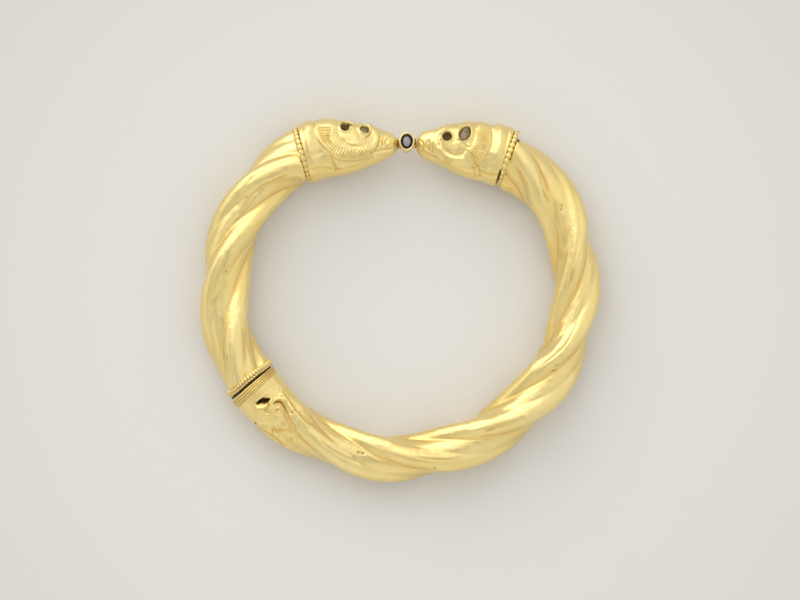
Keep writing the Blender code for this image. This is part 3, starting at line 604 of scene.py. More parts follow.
def make_collar(finish):
    """Four soft ridges, a little uneven, with painted shade in their grooves and on the end towards the seam."""
    length = length_at(COLLAR_TO) - length_at(COLLAR_FROM) - 0.1
    d = np.linspace(0, length, 71)[:, None]
    phi = np.linspace(0, 2 * pi, 201)[None, :]
    inside = np.sin(d / length * pi)
    bent = d + 0.05 * inside * (np.sin(2 * phi + 0.5) + 0.6 * np.sin(5 * phi + 2))
    ridge = np.abs(np.sin(bent / length * 4 * pi)) * (0.8 + 0.2 * np.sin(5 * phi + 1) * np.sin(8 * phi + 4 * d))
    radius = COLLAR_RADIUS - COLLAR_GROOVE * (1 - ridge) + 0.04 * np.sin(phi * 5 + 1) * np.sin(phi * 2)
    radius = radius - 0.25 * (1 - ramp(d, 0.0, 0.5))
    angle = travel(COLLAR_FROM, d)
    outward, _ = axes(angle, arm_lean(angle))
    surface = (centre(angle) + outward * (radius * np.cos(phi))[..., None] + UP * (radius * np.sin(phi))[..., None])
    surface[..., 2] = np.maximum(surface[..., 2], 0)
    surface[:, -1] = surface[:, 0]
    # the grooves are painted darker and warmer as shade
    warm_shade = 1 - ridge
    marks = {"grime": 0.35 * warm_shade ** 2, "warm_shade": warm_shade}
    for stop in (0, -1):
        surface = closed_end(surface, stop)
        marks = widen(marks, stop)
    # the end towards the seam is painted dark brown as the shade in the gap
    marks["grime"][-2:] = 0.85
    return piece("collar_fine", sheet("collar_fine", surface, marks), finish, "collar")


# The heads

def head_base(name, share, phi):
    """Smooth head without its relief, at a share of its length and an angle round its section."""
    outer, inner, thick = (curve([(row[0], row[k]) for row in HEAD], share) for k in (1, 2, 3))
    outer = outer + curve([(row[0], row[1]) for row in HEAD_TRIM[name]], share)
    inner = inner + curve([(row[0], row[2]) for row in HEAD_TRIM[name]], share)
    wide, shift = (outer + inner) / 2, (outer - inner) / 2
    power = 2 / HEAD_SQUARENESS
    c, s = np.cos(phi), np.sin(phi)
    across = wide * np.abs(c) ** power * np.sign(c)
    up = thick * np.abs(s) ** power * np.sign(s)
    if name == "right_head":
        angle, lean = travel(RIGHT_TIP, RIGHT_HEAD_LENGTH * share), RIGHT_LEAN
    else:
        angle, lean = travel(LEFT_TIP, -LEFT_HEAD_LENGTH * share), LEFT_LEAN
    outward, _ = axes(angle, lean * ramp(share, 0.45, 1.0))
    return centre(angle) + outward * (shift + across)[..., None] + UP * up[..., None]


class Relief:
    """Relief over a piece, with how much each place is painted darker (dirt and painted shade) and warmer (painted warm
    shade), all in the x and y that it is given.
    """

    def __init__(self, x, y, frame=seen):
        self.x, self.y, self.frame, self.strength, self.taper = x, y, frame, 1.3, 0.0
        self.rise, self.grime, self.warm_shade = np.zeros(x.shape), np.zeros(x.shape), np.zeros(x.shape)

    def fold(self, height, width, *points, dirt_and_shade=0.0, warm=0.0):
        """A soft fold along a line: a ridge where the height is positive, a crease where it is negative; a crease can
        also be painted darker and warmer as shade.
        """
        gap, gone = self.distance(*points)
        share = np.exp(-(gap / width) ** 2) * (4 * gone * (1 - gone)) ** self.taper
        self.rise += height * self.strength * share
        self.grime += dirt_and_shade * share
        self.warm_shade += warm * share

    def distance(self, *points):
        """Distance from a smooth line through the points, and the share of the line gone at the nearest place."""
        k = np.arange(len(points))
        fine = np.linspace(0, len(points) - 1, 5 * len(points) - 4) if len(points) > 2 else k
        places = list(zip(*self.frame(*(curve(list(zip(k, (p[j] for p in points))), fine) for j in (0, 1)))))
        best, gone = np.full(self.x.shape, 1e9), np.zeros(self.x.shape)
        for part, ((ax, ay), (bx, by)) in enumerate(zip(places, places[1:])):
            dx, dy = bx - ax, by - ay
            t = np.clip(((self.x - ax) * dx + (self.y - ay) * dy) / (dx * dx + dy * dy), 0, 1)
            gap = np.hypot(self.x - ax - t * dx, self.y - ay - t * dy)
            gone = np.where(gap < best, (part + t) / (len(places) - 1), gone)
            best = np.minimum(best, gap)
        return best, gone

    def oval(self, at, half, turned=0.0, edge=0.35, rough=0.0, seed=1.0):
        """Share of a flat-topped oval; edge is its wall's width as a share of its size."""
        cx, cy = self.frame(*at)
        c, s = cos(radians(turned)), sin(radians(turned))
        p = ((self.x - cx) * c + (self.y - cy) * s) / half[0]
        q = ((self.y - cy) * c - (self.x - cx) * s) / half[1]
        reach = np.hypot(p, q) * (1 + rough * ripple(self.x, self.y, seed, 1.3 * min(half)))
        return 1 - ramp(reach, 1 - edge, 1 + edge)

    def add(self, share, height, dirt_and_shade=0.0, warm=0.0):
        self.rise += height * share
        self.grime += dirt_and_shade * share
        self.warm_shade += warm * share


def mane(name, relief):
    """The mane: a smooth raised band behind, slanting strands inside it, worn away towards the throat."""
    run, inside = along(relief.x, relief.y, MANE_LINE[name])
    if name == "right_head":
        inside = -inside
    begin, end, slant = (curve([(row[0], row[k]) for row in HAIR[name]], run) for k in (1, 2, 3))
    a, b, c, d = HAIR_SPAN[name]
    there = ramp(run, a, b) * (1 - ramp(run, c, d))
    body = ramp(inside, -0.08, 0.3) * (1 - 0.8 * ramp(inside, end, end + 1.8)) * (1 - 0.9 * ramp(run, *MANE_ENDS[name]))
    hair = ramp(inside, begin - 0.1, begin + 0.15) * (1 - ramp(inside, end - 0.5, end + 0.1)) * there
    edge, front = np.exp(-((inside + 0.17) / 0.13) ** 2), np.exp(-((inside - begin + 0.06) / 0.1) ** 2)
    if name == "left_head":
        run, inside = along(relief.x, relief.y, HAIR_GUIDE)
    phase = 2 * pi * (run - inside * np.tan(np.radians(slant))) / HAIR_PITCH[name]
    strands = np.cos(phase + 0.5 * ripple(relief.x, relief.y, 3.0, 3.0))
    uneven = 0.85 + 0.5 * ripple(relief.x, relief.y, 6.0, 2.0)
    if name == "left_head":
        uneven = uneven * (1 - 0.4 * ramp(run, 7.0, 11.0))
    relief.add(body, MANE_HEIGHT[name])
    relief.add(hair * strands * uneven, 0.2 if name == "left_head" else 0.14)
    # the gaps between strands, the edge crease and the crease before the strands are painted darker and warmer as shade
    relief.add(hair * np.clip(-strands, 0, 1) * uneven, 0.0, 0.1, 0.75)
    relief.add(edge * (1 - ramp(run, c, d)), -0.06, 0.08, 0.5)
    relief.add(front * there, -0.07, 0.06, 0.5)


def socket(relief, pits, rims, depth=0.7, height=0.2, dirt_and_shade=0.85):
    """An empty or half filled socket with a pale irregular rim; pits and rims are (place, half, turned)."""
    pit = np.zeros(relief.x.shape)
    rim = np.zeros(relief.x.shape)
    for at, half, turned in pits:
        pit = np.maximum(pit, relief.oval(at, half, turned, 0.1, 0.05, 2.0))
    for at, half, turned in rims:
        rim = np.maximum(rim, relief.oval(at, half, turned, 0.16, 0.05, 4.0))
    relief.add(rim, height)
    # the pit is painted dark brown: residue in it, and painted shade of its depth
    relief.add(pit, -depth, dirt_and_shade)
    return pit


def left_head_relief(x, y):
    r = Relief(x, y)
    mane("left_head", r)
    # Creases in the folds below are painted darker and warmer as shade.
    r.rise += 0.035 * ripple(x, y, 1.0, 2.4) + 0.013 * ripple(x, y, 8.0, 0.9)
    # neck: a full band behind the mane, a dent below it, soft strokes
    r.fold(0.16, 0.95, (308, 120), (308.5, 132), (309.5, 146), (310, 152))
    r.fold(-0.1, 0.4, (302, 128), (304, 140), (307, 152), (310, 164), warm=0.5)
    r.add(r.oval((316, 155), (1.0, 0.55), 20, 0.8), -0.16)
    r.fold(-0.1, 0.3, (300, 170), (310, 169.3), (321, 168.3), (332, 170), warm=0.9)
    for px in (318, 321, 324.5, 328):
        r.fold(-0.03, 0.25, (px, 159), (px + 1, 168), warm=0.2)
    # throat
    r.fold(-0.2, 0.26, (331, 158), (333.5, 164), (336.5, 171), warm=0.8, dirt_and_shade=0.04)
    r.fold(0.1, 0.3, (334.5, 158.5), (337, 164), (339.5, 169))
    r.fold(-0.08, 0.3, (337, 171), (350, 168.5), (362, 164.5), (374, 158), warm=0.5)
    for px in (343, 347, 352):
        r.fold(-0.04, 0.2, (px, 164), (px + 7, 162.5), warm=0.2)
    # face
    r.fold(-0.12, 0.3, (338.5, 133), (341, 139), (346, 144.5), (354, 147), (364, 146), warm=0.4)
    r.fold(0.22, 0.62, (369, 127), (374, 131), (377, 137), (376, 143), (371, 148), (363, 151))
    r.fold(-0.2, 0.2, (366.5, 138), (369.5, 135.5), (371, 133), dirt_and_shade=0.3)
    r.fold(-0.08, 0.4, (355, 124), (357, 131), (360, 136), warm=0.4)
    for k in range(8):
        r.fold(-0.05, 0.1, (352.5 + 2 * k, 147.5 + 0.1 * k), (352 + 2 * k, 151 + 0.1 * k), warm=0.4)
    # muzzle: wrinkles, nose and lips
    r.fold(-0.16, 0.2, (380.4, 138), (379.6, 142), (378, 147.5), warm=0.9, dirt_and_shade=0.08)
    r.fold(-0.12, 0.17, (384, 137.5), (382.6, 141.5), (383.4, 146), warm=0.8, dirt_and_shade=0.05)
    r.fold(-0.1, 0.2, (387.5, 140), (386, 143.5), (386.8, 148), warm=0.7, dirt_and_shade=0.05)
    r.add(r.oval((385.5, 141.5), (0.7, 0.5), 20, 0.8), -0.1, 0.0, 0.6)
    r.fold(0.12, 0.3, (388.6, 141), (389, 147))
    r.fold(0.12, 0.4, (390, 143.5), (395, 144))
    r.fold(-0.06, 0.25, (389.3, 140), (389.3, 147), warm=0.4)
    r.fold(-0.12, 0.28, (371, 153.5), (380, 151), (389, 149.5), (397, 148.5), warm=0.9, dirt_and_shade=0.04)
    r.fold(0.1, 0.3, (376, 155), (386, 152.5), (395, 151))
    # sockets
    socket(r, (((345.0, 127.2), (0.88, 0.9), 0), ((349.4, 124.9), (0.7, 0.34), -22)),
           (((345.2, 127.3), (1.24, 1.24), 0), ((349.4, 125.2), (1.0, 0.66), -22)))
    r.add(r.oval((343.6, 128.4), (0.4, 0.35), 0, 0.5), -0.25)
    socket(r, (((364.7, 130.1), (0.95, 0.7), -20),), (((364.8, 130.2), (1.24, 0.98), -20),))
    return r


def right_head_relief(x, y):
    r = Relief(x, y)
    mane("right_head", r)
    # Creases in the folds below are painted darker and warmer as shade.
    r.rise += 0.035 * ripple(x, y, 1.0, 2.4) + 0.013 * ripple(x, y, 8.0, 0.9)
    # neck: a round fold, hollows on both sides of it
    r.fold(0.26, 0.8, (498, 120), (499.5, 132), (499.5, 142), (497, 152), (493, 160))
    r.fold(-0.14, 0.5, (507, 126), (508, 138), (505.5, 152), (500, 166), warm=0.4)
    r.add(r.oval((490.5, 161.5), (1.1, 0.95), 30, 0.8), -0.16)
    r.fold(-0.16, 0.26, (480, 171.5), (488, 174.5), (497, 175.5), warm=0.9)
    r.fold(0.12, 0.4, (481, 168.5), (489, 171.5), (497, 172))
    # slot beside the wire, painted near black as the shade inside it
    r.fold(-0.3, 0.17, (500.2, 171), (498, 178), (496.2, 184.4), dirt_and_shade=2.2)
    # throat
    r.fold(-0.13, 0.2, (473, 167.5), (474, 172), (475.5, 177), warm=0.8)
    r.fold(-0.16, 0.2, (476.5, 165), (478.5, 170), (480, 176.5), warm=0.9, dirt_and_shade=0.04)
    # cheek plate below the eye, its bright border, creases
    r.fold(-0.2, 0.26, (440.8, 141), (442.5, 147), (447.5, 153), (455, 156), (461, 155.3), (465, 150.5),
           warm=0.3, dirt_and_shade=0.06)
    r.fold(0.18, 0.42, (440.5, 149.5), (446, 156), (454, 159.8), (463, 160))
    r.fold(-0.11, 0.26, (445, 129), (439, 133), (436.8, 139), (438.5, 146), warm=0.3)
    r.fold(-0.12, 0.24, (459.5, 141), (463, 144.5), (468, 148), (471.5, 147), warm=0.4)
    r.fold(0.08, 0.3, (458, 143.5), (463, 147.5), (468, 150.5))
    r.fold(-0.2, 0.5, (474, 120), (475.5, 128), (475.5, 136), (472, 144), warm=0.7)
    r.fold(-0.06, 0.5, (456, 126), (455, 133), (456, 141), warm=0.5)
    r.fold(-0.05, 0.25, (448, 126.5), (452, 125.4), (457, 124.8), dirt_and_shade=0.08)
    # muzzle
    for px, low, high, lean in ((426.2, 142, 149, 0.8), (429.2, 140.5, 151, -0.6), (432.0, 144, 153, 0.5)):
        r.fold(-0.14, 0.18, (px + lean, low), (px, (low + high) / 2), (px - 0.4 + lean, high), warm=1.0, dirt_and_shade=0.1)
    r.fold(-0.12, 0.25, (418, 140.5), (422, 142.5), (423, 147), (420.5, 151), warm=1.0, dirt_and_shade=0.06)
    r.fold(0.14, 0.35, (414.5, 141), (416.5, 146))
    r.fold(-0.08, 0.25, (419.5, 139), (420.5, 147), warm=0.4)
    r.fold(-0.11, 0.28, (412, 148.5), (420, 150.5), (427, 154), (436, 158), warm=1.0, dirt_and_shade=0.04)
    r.fold(0.1, 0.3, (416, 152.5), (424, 155.5), (432, 160))
    # sockets
    socket(r, (((464.7, 134.2), (1.12, 1.5), -30),), (((464.8, 134.4), (1.4, 1.8), -30),))
    socket(r, (((447, 136.8), (0.98, 0.92), 0),), (((447.1, 136.9), (1.28, 1.22), 0),))
    r.add(r.oval((445.6, 135.4), (0.45, 0.5), 0, 0.5), -0.2)
    return r


def make_head(name, relief, finish):
    seam, lean, sign = (RIGHT_SEAM, RIGHT_LEAN, -1) if name == "right_head" else (LEFT_SEAM, LEFT_LEAN, 1)
    length = RIGHT_HEAD_LENGTH if name == "right_head" else LEFT_HEAD_LENGTH
    last_share = 1 - (NECK_EDGE + NECK_RIM) / length
    share = np.r_[np.linspace(0, 0.1, 25, endpoint=False), np.linspace(0.1, last_share, 205)][:, None]
    phi = np.r_[np.linspace(0, pi, 260, endpoint=False), np.linspace(pi, 2 * pi, 121)][None, :]
    surface = head_base(name, share, phi)
    n = normals(surface)
    r = relief(surface[..., 0], surface[..., 1])
    fade = ramp(share, 0.0, 0.06) * (1 - ramp(share, 0.93, last_share))
    surface = surface + n * (r.rise * fade)[..., None]
    grime, warm_shade = r.grime * ramp(share, 0.0, 0.06), r.warm_shade * fade

    # rounded front of the muzzle
    front = surface[0]
    middle = front[:-1].mean(0)
    _, forward = axes(RIGHT_TIP if name == "right_head" else LEFT_TIP, 0.0)
    ahead = -forward if name == "right_head" else forward
    t = np.linspace(0, pi / 2, 10)[:-1][:, None, None]
    nose = middle + (front - middle) * np.sin(t) + ahead * NOSE_ROUND * np.cos(t)

    # rounded rim beside the wire, then down to the waist under it
    rows, back, low = [], surface[-1], WAIST + WAIST_FILL
    for t in np.linspace(0, pi / 2, 8)[1:]:
        angle = travel(seam, sign * (NECK_EDGE + NECK_RIM * (1 - sin(t))))
        shrink = 0.94 + 0.06 * cos(t)
        rows.append(centre(angle) + (back - centre(travel(seam, sign * (NECK_EDGE + NECK_RIM)))) * shrink)
    for depth in (0.5, 1.0):
        angle = travel(seam, sign * NECK_EDGE)
        outward, _ = axes(angle, lean)
        waist = centre(angle) + outward * (NECK_SHIFT + low * np.cos(phi[0]))[:, None]
        waist = waist + UP * (low * WAIST_FLAT * np.sin(phi[0]))[:, None]
        rows.append(rows[6] * (1 - depth) + waist * depth)
    angle = travel(seam, sign * HALF_GAP)
    outward, _ = axes(angle, lean)
    rows.append(centre(angle) + outward * (NECK_SHIFT + low * np.cos(phi[0]))[:, None]
                + UP * (low * WAIST_FLAT * np.sin(phi[0]))[:, None])
    surface = np.concatenate((nose, surface, np.array(rows)), 0)
    extra = (len(nose), len(rows))
    marks = {}
    for title, values in (("grime", grime), ("warm_shade", warm_shade)):
        first, last = np.repeat(values[:1], extra[0], 0), np.repeat(values[-1:], extra[1], 0)
        # the rows down into the gap by the wire are painted dark and warm as its shade
        last[-3:] = 0.5
        marks[title] = np.clip(np.concatenate((first, values, last), 0), 0, 1.5)
    surface[..., 2] = np.maximum(surface[..., 2], 0)
    surface[:, -1] = surface[:, 0]
    surface = closed_end(surface, -1)
    marks = widen(marks, -1)
    return piece(name + "_fine", sheet(name + "_fine", surface, marks), finish, name)


def make_inlay(name, head, at, half, turned, rough, finish):
    """What is left of a setting: an uneven crust at the bottom of a socket."""
    r = np.linspace(0, 1, 22)[1:, None]
    phi = np.linspace(0, 2 * pi, 73)[None, :]
    c, s = cos(radians(turned)), sin(radians(turned))
    p, q = half[0] * r * np.cos(phi), half[1] * r * np.sin(phi)
    cx, cy = seen(*at)
    x, y = cx + p * c - q * s, cy + p * s + q * c
    whole = head_base(head, np.linspace(0.1, 0.8, 160)[:, None], np.linspace(0.2, 2.9, 200)[None, :])
    around = normals(whole, False)
    i, j = np.unravel_index(np.argmin(np.hypot(whole[..., 0] - cx, whole[..., 1] - cy)), whole.shape[:2])
    spot, n = whole[i, j], around[i, j]
    z = spot[2] - (n[0] * (x - spot[0]) + n[1] * (y - spot[1])) / n[2]
    crust = rough * (ripple(x, y, 3.0, 0.8) + 0.6 * ripple(x, y, 5.0, 0.4))
    top = np.stack((x, y, z), -1) + n * (-0.28 + crust * (1 - r ** 6) - 0.25 * r ** 4)[..., None]
    low = top[-1] - n * 0.3
    surface = np.concatenate((top, low[None]), 0)
    surface[:, -1] = surface[:, 0]
    for stop in (0, -1):
        surface = closed_end(surface, stop)
    return piece(name + "_fine", sheet(name + "_fine", surface), finish, name, slot="inlay_remains")


# Collet and stone

def tilt(points):
    """Leans points with the collet, its top away from the heads' crowns."""
    c, s = cos(radians(COLLET_TILT)), sin(radians(COLLET_TILT))
    q = points - COLLET_AT
    return np.stack((q[..., 0], q[..., 1] * c + q[..., 2] * s, q[..., 2] * c - q[..., 1] * s), -1) + COLLET_AT


def oval_rows(profile, columns):
    """Oval rings about the collet's middle; each of the profile is (half width, half height, z)."""
    phi = np.linspace(0, 2 * pi, columns + 1)
    rows = []
    for a, b, z in profile:
        rows.append(np.stack((COLLET_AT[0] + a * np.cos(phi), COLLET_AT[1] + b * np.sin(phi), z + 0 * phi), -1))
    surface = np.array(rows)
    surface[:, -1] = surface[:, 0]
    return surface


def make_collet(finish):
    a, b = COLLET_HALF
    low, top = COLLET_BOTTOM, COLLET_TOP
    wall = ((low, 0.8), (low + 0.15, 0.86), (low + 0.4, 0.88), (4.6, 0.885), (AXIS_HEIGHT, 0.9), (6.4, 0.93),
            (top - 0.6, 0.97), (top - 0.45, 1.0), (top - 0.3, 1.02), (top - 0.12, 1.01), (top - 0.02, 0.96),
            (top, 0.9), (top - 0.02, 0.84), (top - 0.12, 0.79), (top - 0.5, 0.77))
    surface = tilt(oval_rows([(a * share, b * share, z) for z, share in wall], 72))
    for stop in (0, -1):
        surface = closed_end(surface, stop)
    zero = np.zeros(surface.shape[:2])
    mesh = sheet("collet_fine", surface, {"grime": zero, "warm_shade": zero})
    bm = bmesh.new()
    bm.from_mesh(mesh)
    x, y, z = COLLET_AT
    grime_and_shade_layer = bm.verts.layers.float["grime"]
    # Blobs that join the collet to the muzzles; the side ones are painted dark as the shade between collet and muzzles.
    for dx, dy, half, height, dirt_and_shade in ((1.55, 0.78, (0.34, 0.3), 1.1, 0.1), (1.5, -0.55, (0.44, 0.5), 1.1, 0.2),
                                       (-1.5, 0.6, (0.5, 0.5), 1.1, 0.1), (-1.5, -0.95, (0.45, 0.3), 1.1, 0.1),
                                       (-1.46, -0.2, (0.45, 0.75), 1.0, 0.45), (1.46, 0.15, (0.42, 0.6), 0.9, 0.4)):
        made = bmesh.ops.create_uvsphere(bm, u_segments=20, v_segments=12, radius=1.0)["verts"]
        for v in made:
            v[grime_and_shade_layer] = dirt_and_shade
        bmesh.ops.scale(bm, vec=(half[0] * MM, half[1] * MM, height * MM), verts=made)
        bmesh.ops.translate(bm, vec=((x + dx) * MM, (y + dy) * MM, z * MM), verts=made)
    bm.to_mesh(mesh)
    bm.free()
    return piece("collet_fine", mesh, finish, "collet")


def make_stone(finish):
    a, b = STONE_HALF
    low = COLLET_TOP - 0.35
    profile = [(a * 0.9, b * 0.9, low), (a, b, low + 0.08)]
    for k in range(1, 16):
        t = pi / 2 * k / 16
        profile.append((a * cos(t), b * cos(t), low + 0.08 + 0.55 * sin(t)))
    surface = oval_rows(profile, 64)
    # the middle mark places the painted reflection on the stone's dome
    p, q = (surface[..., 0] - COLLET_AT[0]) / 0.7, (surface[..., 1] - COLLET_AT[1] + 0.05) / 0.98
    marks = {"middle": 1 - ramp(np.hypot(p, q), 0.86, 1.12)}
    surface = tilt(surface)
    for stop in (0, -1):
        surface = closed_end(surface, stop)
        marks = widen(marks, stop)
    marks["middle"][:3] = 0
    return piece("stone_fine", sheet("stone_fine", surface, marks), finish, "stone", slot="stone")


# Finishes

def feed(tree, inlet, value):
    """Links a field to a socket, or sets the socket to a value."""
    if isinstance(value, Field):
        tree.links.new(value.socket, inlet)
    else:
        inlet.default_value = value


class Field:
    """A value in a material; arithmetic on it adds the nodes that work it out."""

    def __init__(self, tree, socket):
        self.tree, self.socket = tree, socket

    def math(self, operation, *values):
        node = self.tree.nodes.new("ShaderNodeMath")
        node.operation = operation
        for inlet, value in zip(node.inputs, values):
            feed(self.tree, inlet, value)
        return Field(self.tree, node.outputs[0])

    def __add__(self, other):
        return self.math("ADD", self, other)

    __radd__ = __add__

    def __sub__(self, other):
        return self.math("SUBTRACT", self, other)

    def __rsub__(self, other):
        return self.math("SUBTRACT", other, self)

    def __mul__(self, other):
        return self.math("MULTIPLY", self, other)

    __rmul__ = __mul__

    def clamp(self):
        return self.math("MINIMUM", self.math("MAXIMUM", self, 0.0), 1.0)


class Finish:
    """A material in the making."""

    def __init__(self, name, colour, roughness, metallic, **constants):
        self.material = bpy.data.materials.new(name)
        self.material.use_nodes = True
        self.tree = self.material.node_tree
        self.shader = self.tree.nodes["Principled BSDF"]
        self.set("Base Color", (*colour, 1.0))
        self.set("Roughness", roughness)
        self.set("Metallic", metallic)
        for title, value in constants.items():
            self.set(title.replace("_", " "), value)
        self.material.diffuse_color = (*colour, 1.0)

    def set(self, title, value):
        feed(self.tree, self.shader.inputs[title], value)

    def node(self, kind, settings=None, out=0, **values):
        """Adds a node; settings come first, then the values or links of its sockets by name."""
        node = self.tree.nodes.new(kind)
        for key, value in (settings or {}).items():
            setattr(node, key, value)
        for key, value in values.items():
            numbered = key[0] == "i" and key[1:].isdigit()
            feed(self.tree, node.inputs[int(key[1:]) if numbered else key.replace("_", " ")], value)
        return Field(self.tree, node.outputs[out])

    def place(self):
        return self.node("ShaderNodeTexCoord", out=3)

    def mark(self, title):
        return self.node("ShaderNodeAttribute", {"attribute_name": title}, out=2)

    def noise(self, scale, detail=3.0, rough=0.5):
        return self.node("ShaderNodeTexNoise", Vector=self.place(), Scale=scale, Detail=detail, Roughness=rough)

    def mix(self, share, low, high):
        low, high = (v if isinstance(v, Field) else (*v, 1.0) for v in (low, high))
        return self.node("ShaderNodeMix", {"data_type": "RGBA"}, out=2, i0=share, i6=low, i7=high)

    def bump(self, height, distance, strength, normal=None):
        values = {"Height": height, "Distance": distance, "Strength": strength}
        if normal:
            values["Normal"] = normal
        return self.node("ShaderNodeBump", **values)


def worn_and_shaded_gold():
    gold = Finish("worn_and_shaded_gold", (0.9, 0.735, 0.33), 0.34, 1.0, Coat_Weight=0.38, Coat_Roughness=0.28, Coat_IOR=1.5,
                  Specular_IOR_Level=0.2)
    grime, warm_shade = gold.mark("grime"), gold.mark("warm_shade")
    broad = gold.noise(110, 3)
    fine = gold.noise(1300, 4, 0.6)
    shades = gold.mix((broad * 2.2 - 0.6).clamp(), (0.915, 0.75, 0.335), (0.87, 0.685, 0.255))
    olive = gold.mix((gold.noise(260, 4, 0.6) * 2.4 - 1.25).clamp(), shades, (0.8, 0.66, 0.27))
    # Orange in valleys and creases is painted warm shade, for light bouncing inside them.
    warm = gold.mix((warm_shade * 0.6).clamp(), olive, (0.83, 0.54, 0.15))
    # Dark brown is dirt in pits and scratches, and painted shade in creases, gaps and holes.
    gold.set("Base Color", gold.mix((grime * 1.15).clamp(), warm, (0.085, 0.042, 0.01)))
    gold.set("Metallic", 1.0 - (grime * 0.75).clamp())
    gold.set("Coat Weight", (0.38 - grime * 0.5).clamp())
    gold.set("Roughness", (0.26 + fine * 0.1 + broad * 0.06 + grime * 0.3).clamp())
    gold.set("Normal", gold.bump(fine, 0.00007, 0.5, gold.bump(gold.noise(420, 2), 0.0003, 0.4)))
    return gold.material


def dark_stone():
    """Black at the edge; the cloudy grey in the middle is a painted reflection of the light."""
    stone = Finish("dark_stone", (0.008, 0.008, 0.01), 0.12, 0.0, IOR=1.5, Specular_IOR_Level=0.25)
    middle = stone.mark("middle")
    cloud = stone.noise(1300, 3, 0.6)
    painted_glare = stone.mix((cloud * 2 - 0.5).clamp(), (0.24, 0.235, 0.24), (0.38, 0.375, 0.4))
    stone.set("Base Color", stone.mix(middle.clamp(), (0.006, 0.005, 0.005), painted_glare))
    stone.set("Roughness", (0.1 + cloud * 0.08).clamp())
    return stone.material


def socket_remains():
    remains = Finish("socket_remains", (0.12, 0.1, 0.06), 0.8, 0.0)
    crust = remains.noise(1500, 5, 0.7)
    remains.set("Base Color", remains.mix((crust * 2.6 - 0.8).clamp(), (0.06, 0.04, 0.015), (0.44, 0.36, 0.22)))
    remains.set("Roughness", (0.65 + crust * 0.3).clamp())
    remains.set("Normal", remains.bump(crust, 0.0002, 0.9))
    return remains.material


def pale_floor():
    """Plain paper with a painted pool of light: paler under the bangle than far from it."""
    floor = Finish("pale_floor", (0.8, 0.79, 0.76), 0.9, 0.0)
    away = floor.node("ShaderNodeVectorMath", {"operation": "LENGTH"}, out=1, i0=floor.place())
    # painted pool of light: the paper darkens with distance from the middle
    paper_with_painted_light = floor.mix(((away - 0.025) * 14).clamp(), (0.78, 0.77, 0.75), (0.685, 0.675, 0.655))
    floor.set("Base Color", floor.mix(floor.noise(4, 2) * 0.1, paper_with_painted_light, (0.8, 0.78, 0.74)))
    return floor.material


# Camera and light

def make_camera():
    data = bpy.data.cameras.new("camera")
    data.sensor_width = 36
    data.lens = data.sensor_width * CAMERA_DISTANCE / FRAME_WIDTH
    data.clip_start, data.clip_end = 0.1, 10
    camera = bpy.data.objects.new("camera", data)
    camera.location = (0, 0, CAMERA_DISTANCE + AXIS_HEIGHT * MM)
    bpy.context.collection.objects.link(camera)
    bpy.context.scene.camera = camera


def softbox(name, azimuth, elevation, width, height, glow, colour, distance):
    """A soft light that looks at the bangle; azimuth is degrees clockwise from +Y, glow its brightness."""
    data = bpy.data.lights.new(name, "AREA")
    data.shape = "RECTANGLE"
    data.size, data.size_y = width, height
    data.energy = glow * pi * width * height
    data.color = colour
    lamp = bpy.data.objects.new(name, data)
    a, e = radians(azimuth), radians(elevation)
    lamp.location = Vector((sin(a) * cos(e), cos(a) * cos(e), sin(e))) * distance
    lamp.rotation_euler = lamp.location.to_track_quat("Z", "Y").to_euler()
    bpy.context.collection.objects.link(lamp)


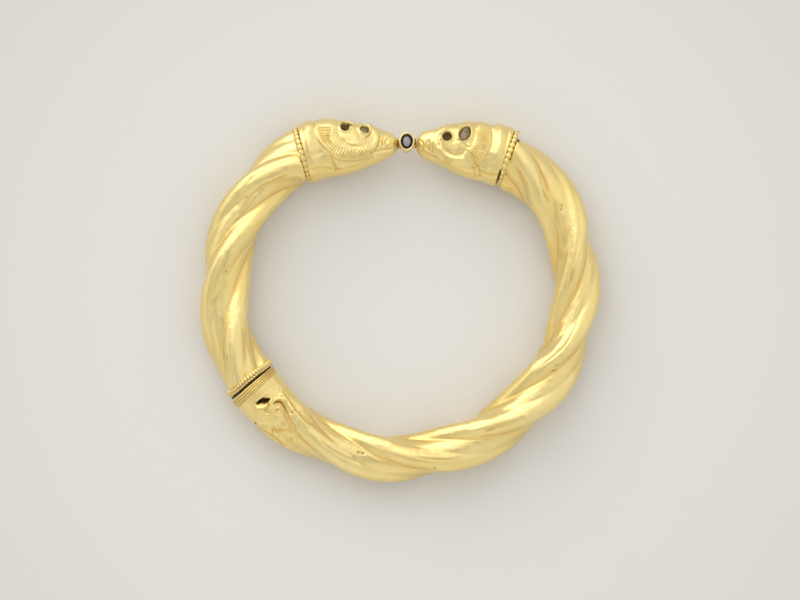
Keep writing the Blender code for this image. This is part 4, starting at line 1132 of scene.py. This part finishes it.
def make_studio():
    world = bpy.data.worlds.new("studio")
    bpy.context.scene.world = world
    world.use_nodes = True
    tree = world.node_tree
    back = tree.nodes["Background"]
    back.inputs["Color"].default_value = (1.0, 0.985, 0.955, 1.0)
    coord = tree.nodes.new("ShaderNodeTexCoord")
    glow = STUDIO_GLOW
    for azimuth, elevation, reach, change in TENT:
        away = tree.nodes.new("ShaderNodeVectorMath")
        away.operation = "DISTANCE"
        a, e = radians(azimuth), radians(elevation)
        away.inputs[1].default_value = (sin(a) * cos(e), cos(a) * cos(e), sin(e))
        tree.links.new(coord.outputs["Generated"], away.inputs[0])
        d = Field(tree, away.outputs["Value"]) * (1 / reach)
        glow = glow * (1.0 + change * d.math("POWER", 2.718, d * d * -1.0))
    tree.links.new(glow.socket, back.inputs["Strength"])
    softbox("key", -38, 44, 0.9, 0.6, 0.22, (1.0, 0.99, 0.97), 1.2)

    bm = bmesh.new()
    bmesh.ops.create_grid(bm, x_segments=1, y_segments=1, size=1.5)
    mesh = bpy.data.meshes.new("floor")
    bm.to_mesh(mesh)
    bm.free()
    mesh.materials.append(pale_floor())
    floor = bpy.data.objects.new("floor", mesh)
    bpy.context.collection.objects.link(floor)


def main():
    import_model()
    bpy.context.scene.view_settings.view_transform = "Standard"
    make_camera()
    make_studio()

    gold, stone, remains = worn_and_shaded_gold(), dark_stone(), socket_remains()
    start, end = travel(RIGHT_SEAM, HALF_GAP), travel(COLLAR_FROM, 0.05)
    neck = NECK_EDGE - HALF_GAP
    make_arm("long_arm", LONG_CRESTS, start, end, neck, 0.0, COLLAR_FROM, 0.25, 125, long_arm_relief, gold)
    start, end = travel(COLLAR_TO, -0.06), travel(LEFT_SEAM, -HALF_GAP)
    waist = length_at(SEAM_WIRE_AT) - length_at(start) + SEAM_BEAD - 0.25
    make_arm("short_arm", SHORT_CRESTS, start, end, waist, neck, 0.0, 0.16, 999, short_arm_relief, gold)
    make_head("left_head", left_head_relief, gold)
    make_head("right_head", right_head_relief, gold)
    wire("right_neck_wire", RIGHT_SEAM, RIGHT_LEAN, NECK_SHIFT + 0.05, 0.53, 0.33, 29, gold, -0.12, 0.25)
    wire("left_neck_wire", LEFT_SEAM, LEFT_LEAN, NECK_SHIFT, 0.51, 0.32, 29, gold, -0.04, 0.25)
    wire("seam_wire", travel(SEAM_WIRE_AT, -0.12), SEAM_LEAN, -0.2, 0.5, 0.25, 48, gold, 0.1, 0.25, 0.06)
    wire("seam_ring", SEAM_RING_AT, SEAM_LEAN, -0.15, 0.32, 0.2, 53, gold, 0.04, 0.45, 0.05)
    make_collar(gold)
    make_collet(gold)
    make_stone(stone)
    make_inlay("left_eye_inlay", "left_head", (364.7, 130.1), (0.88, 0.64), -20, 0.07, remains)
    make_inlay("right_ear_inlay", "right_head", (464.7, 134.2), (1.05, 1.43), -30, 0.05, remains)


main()
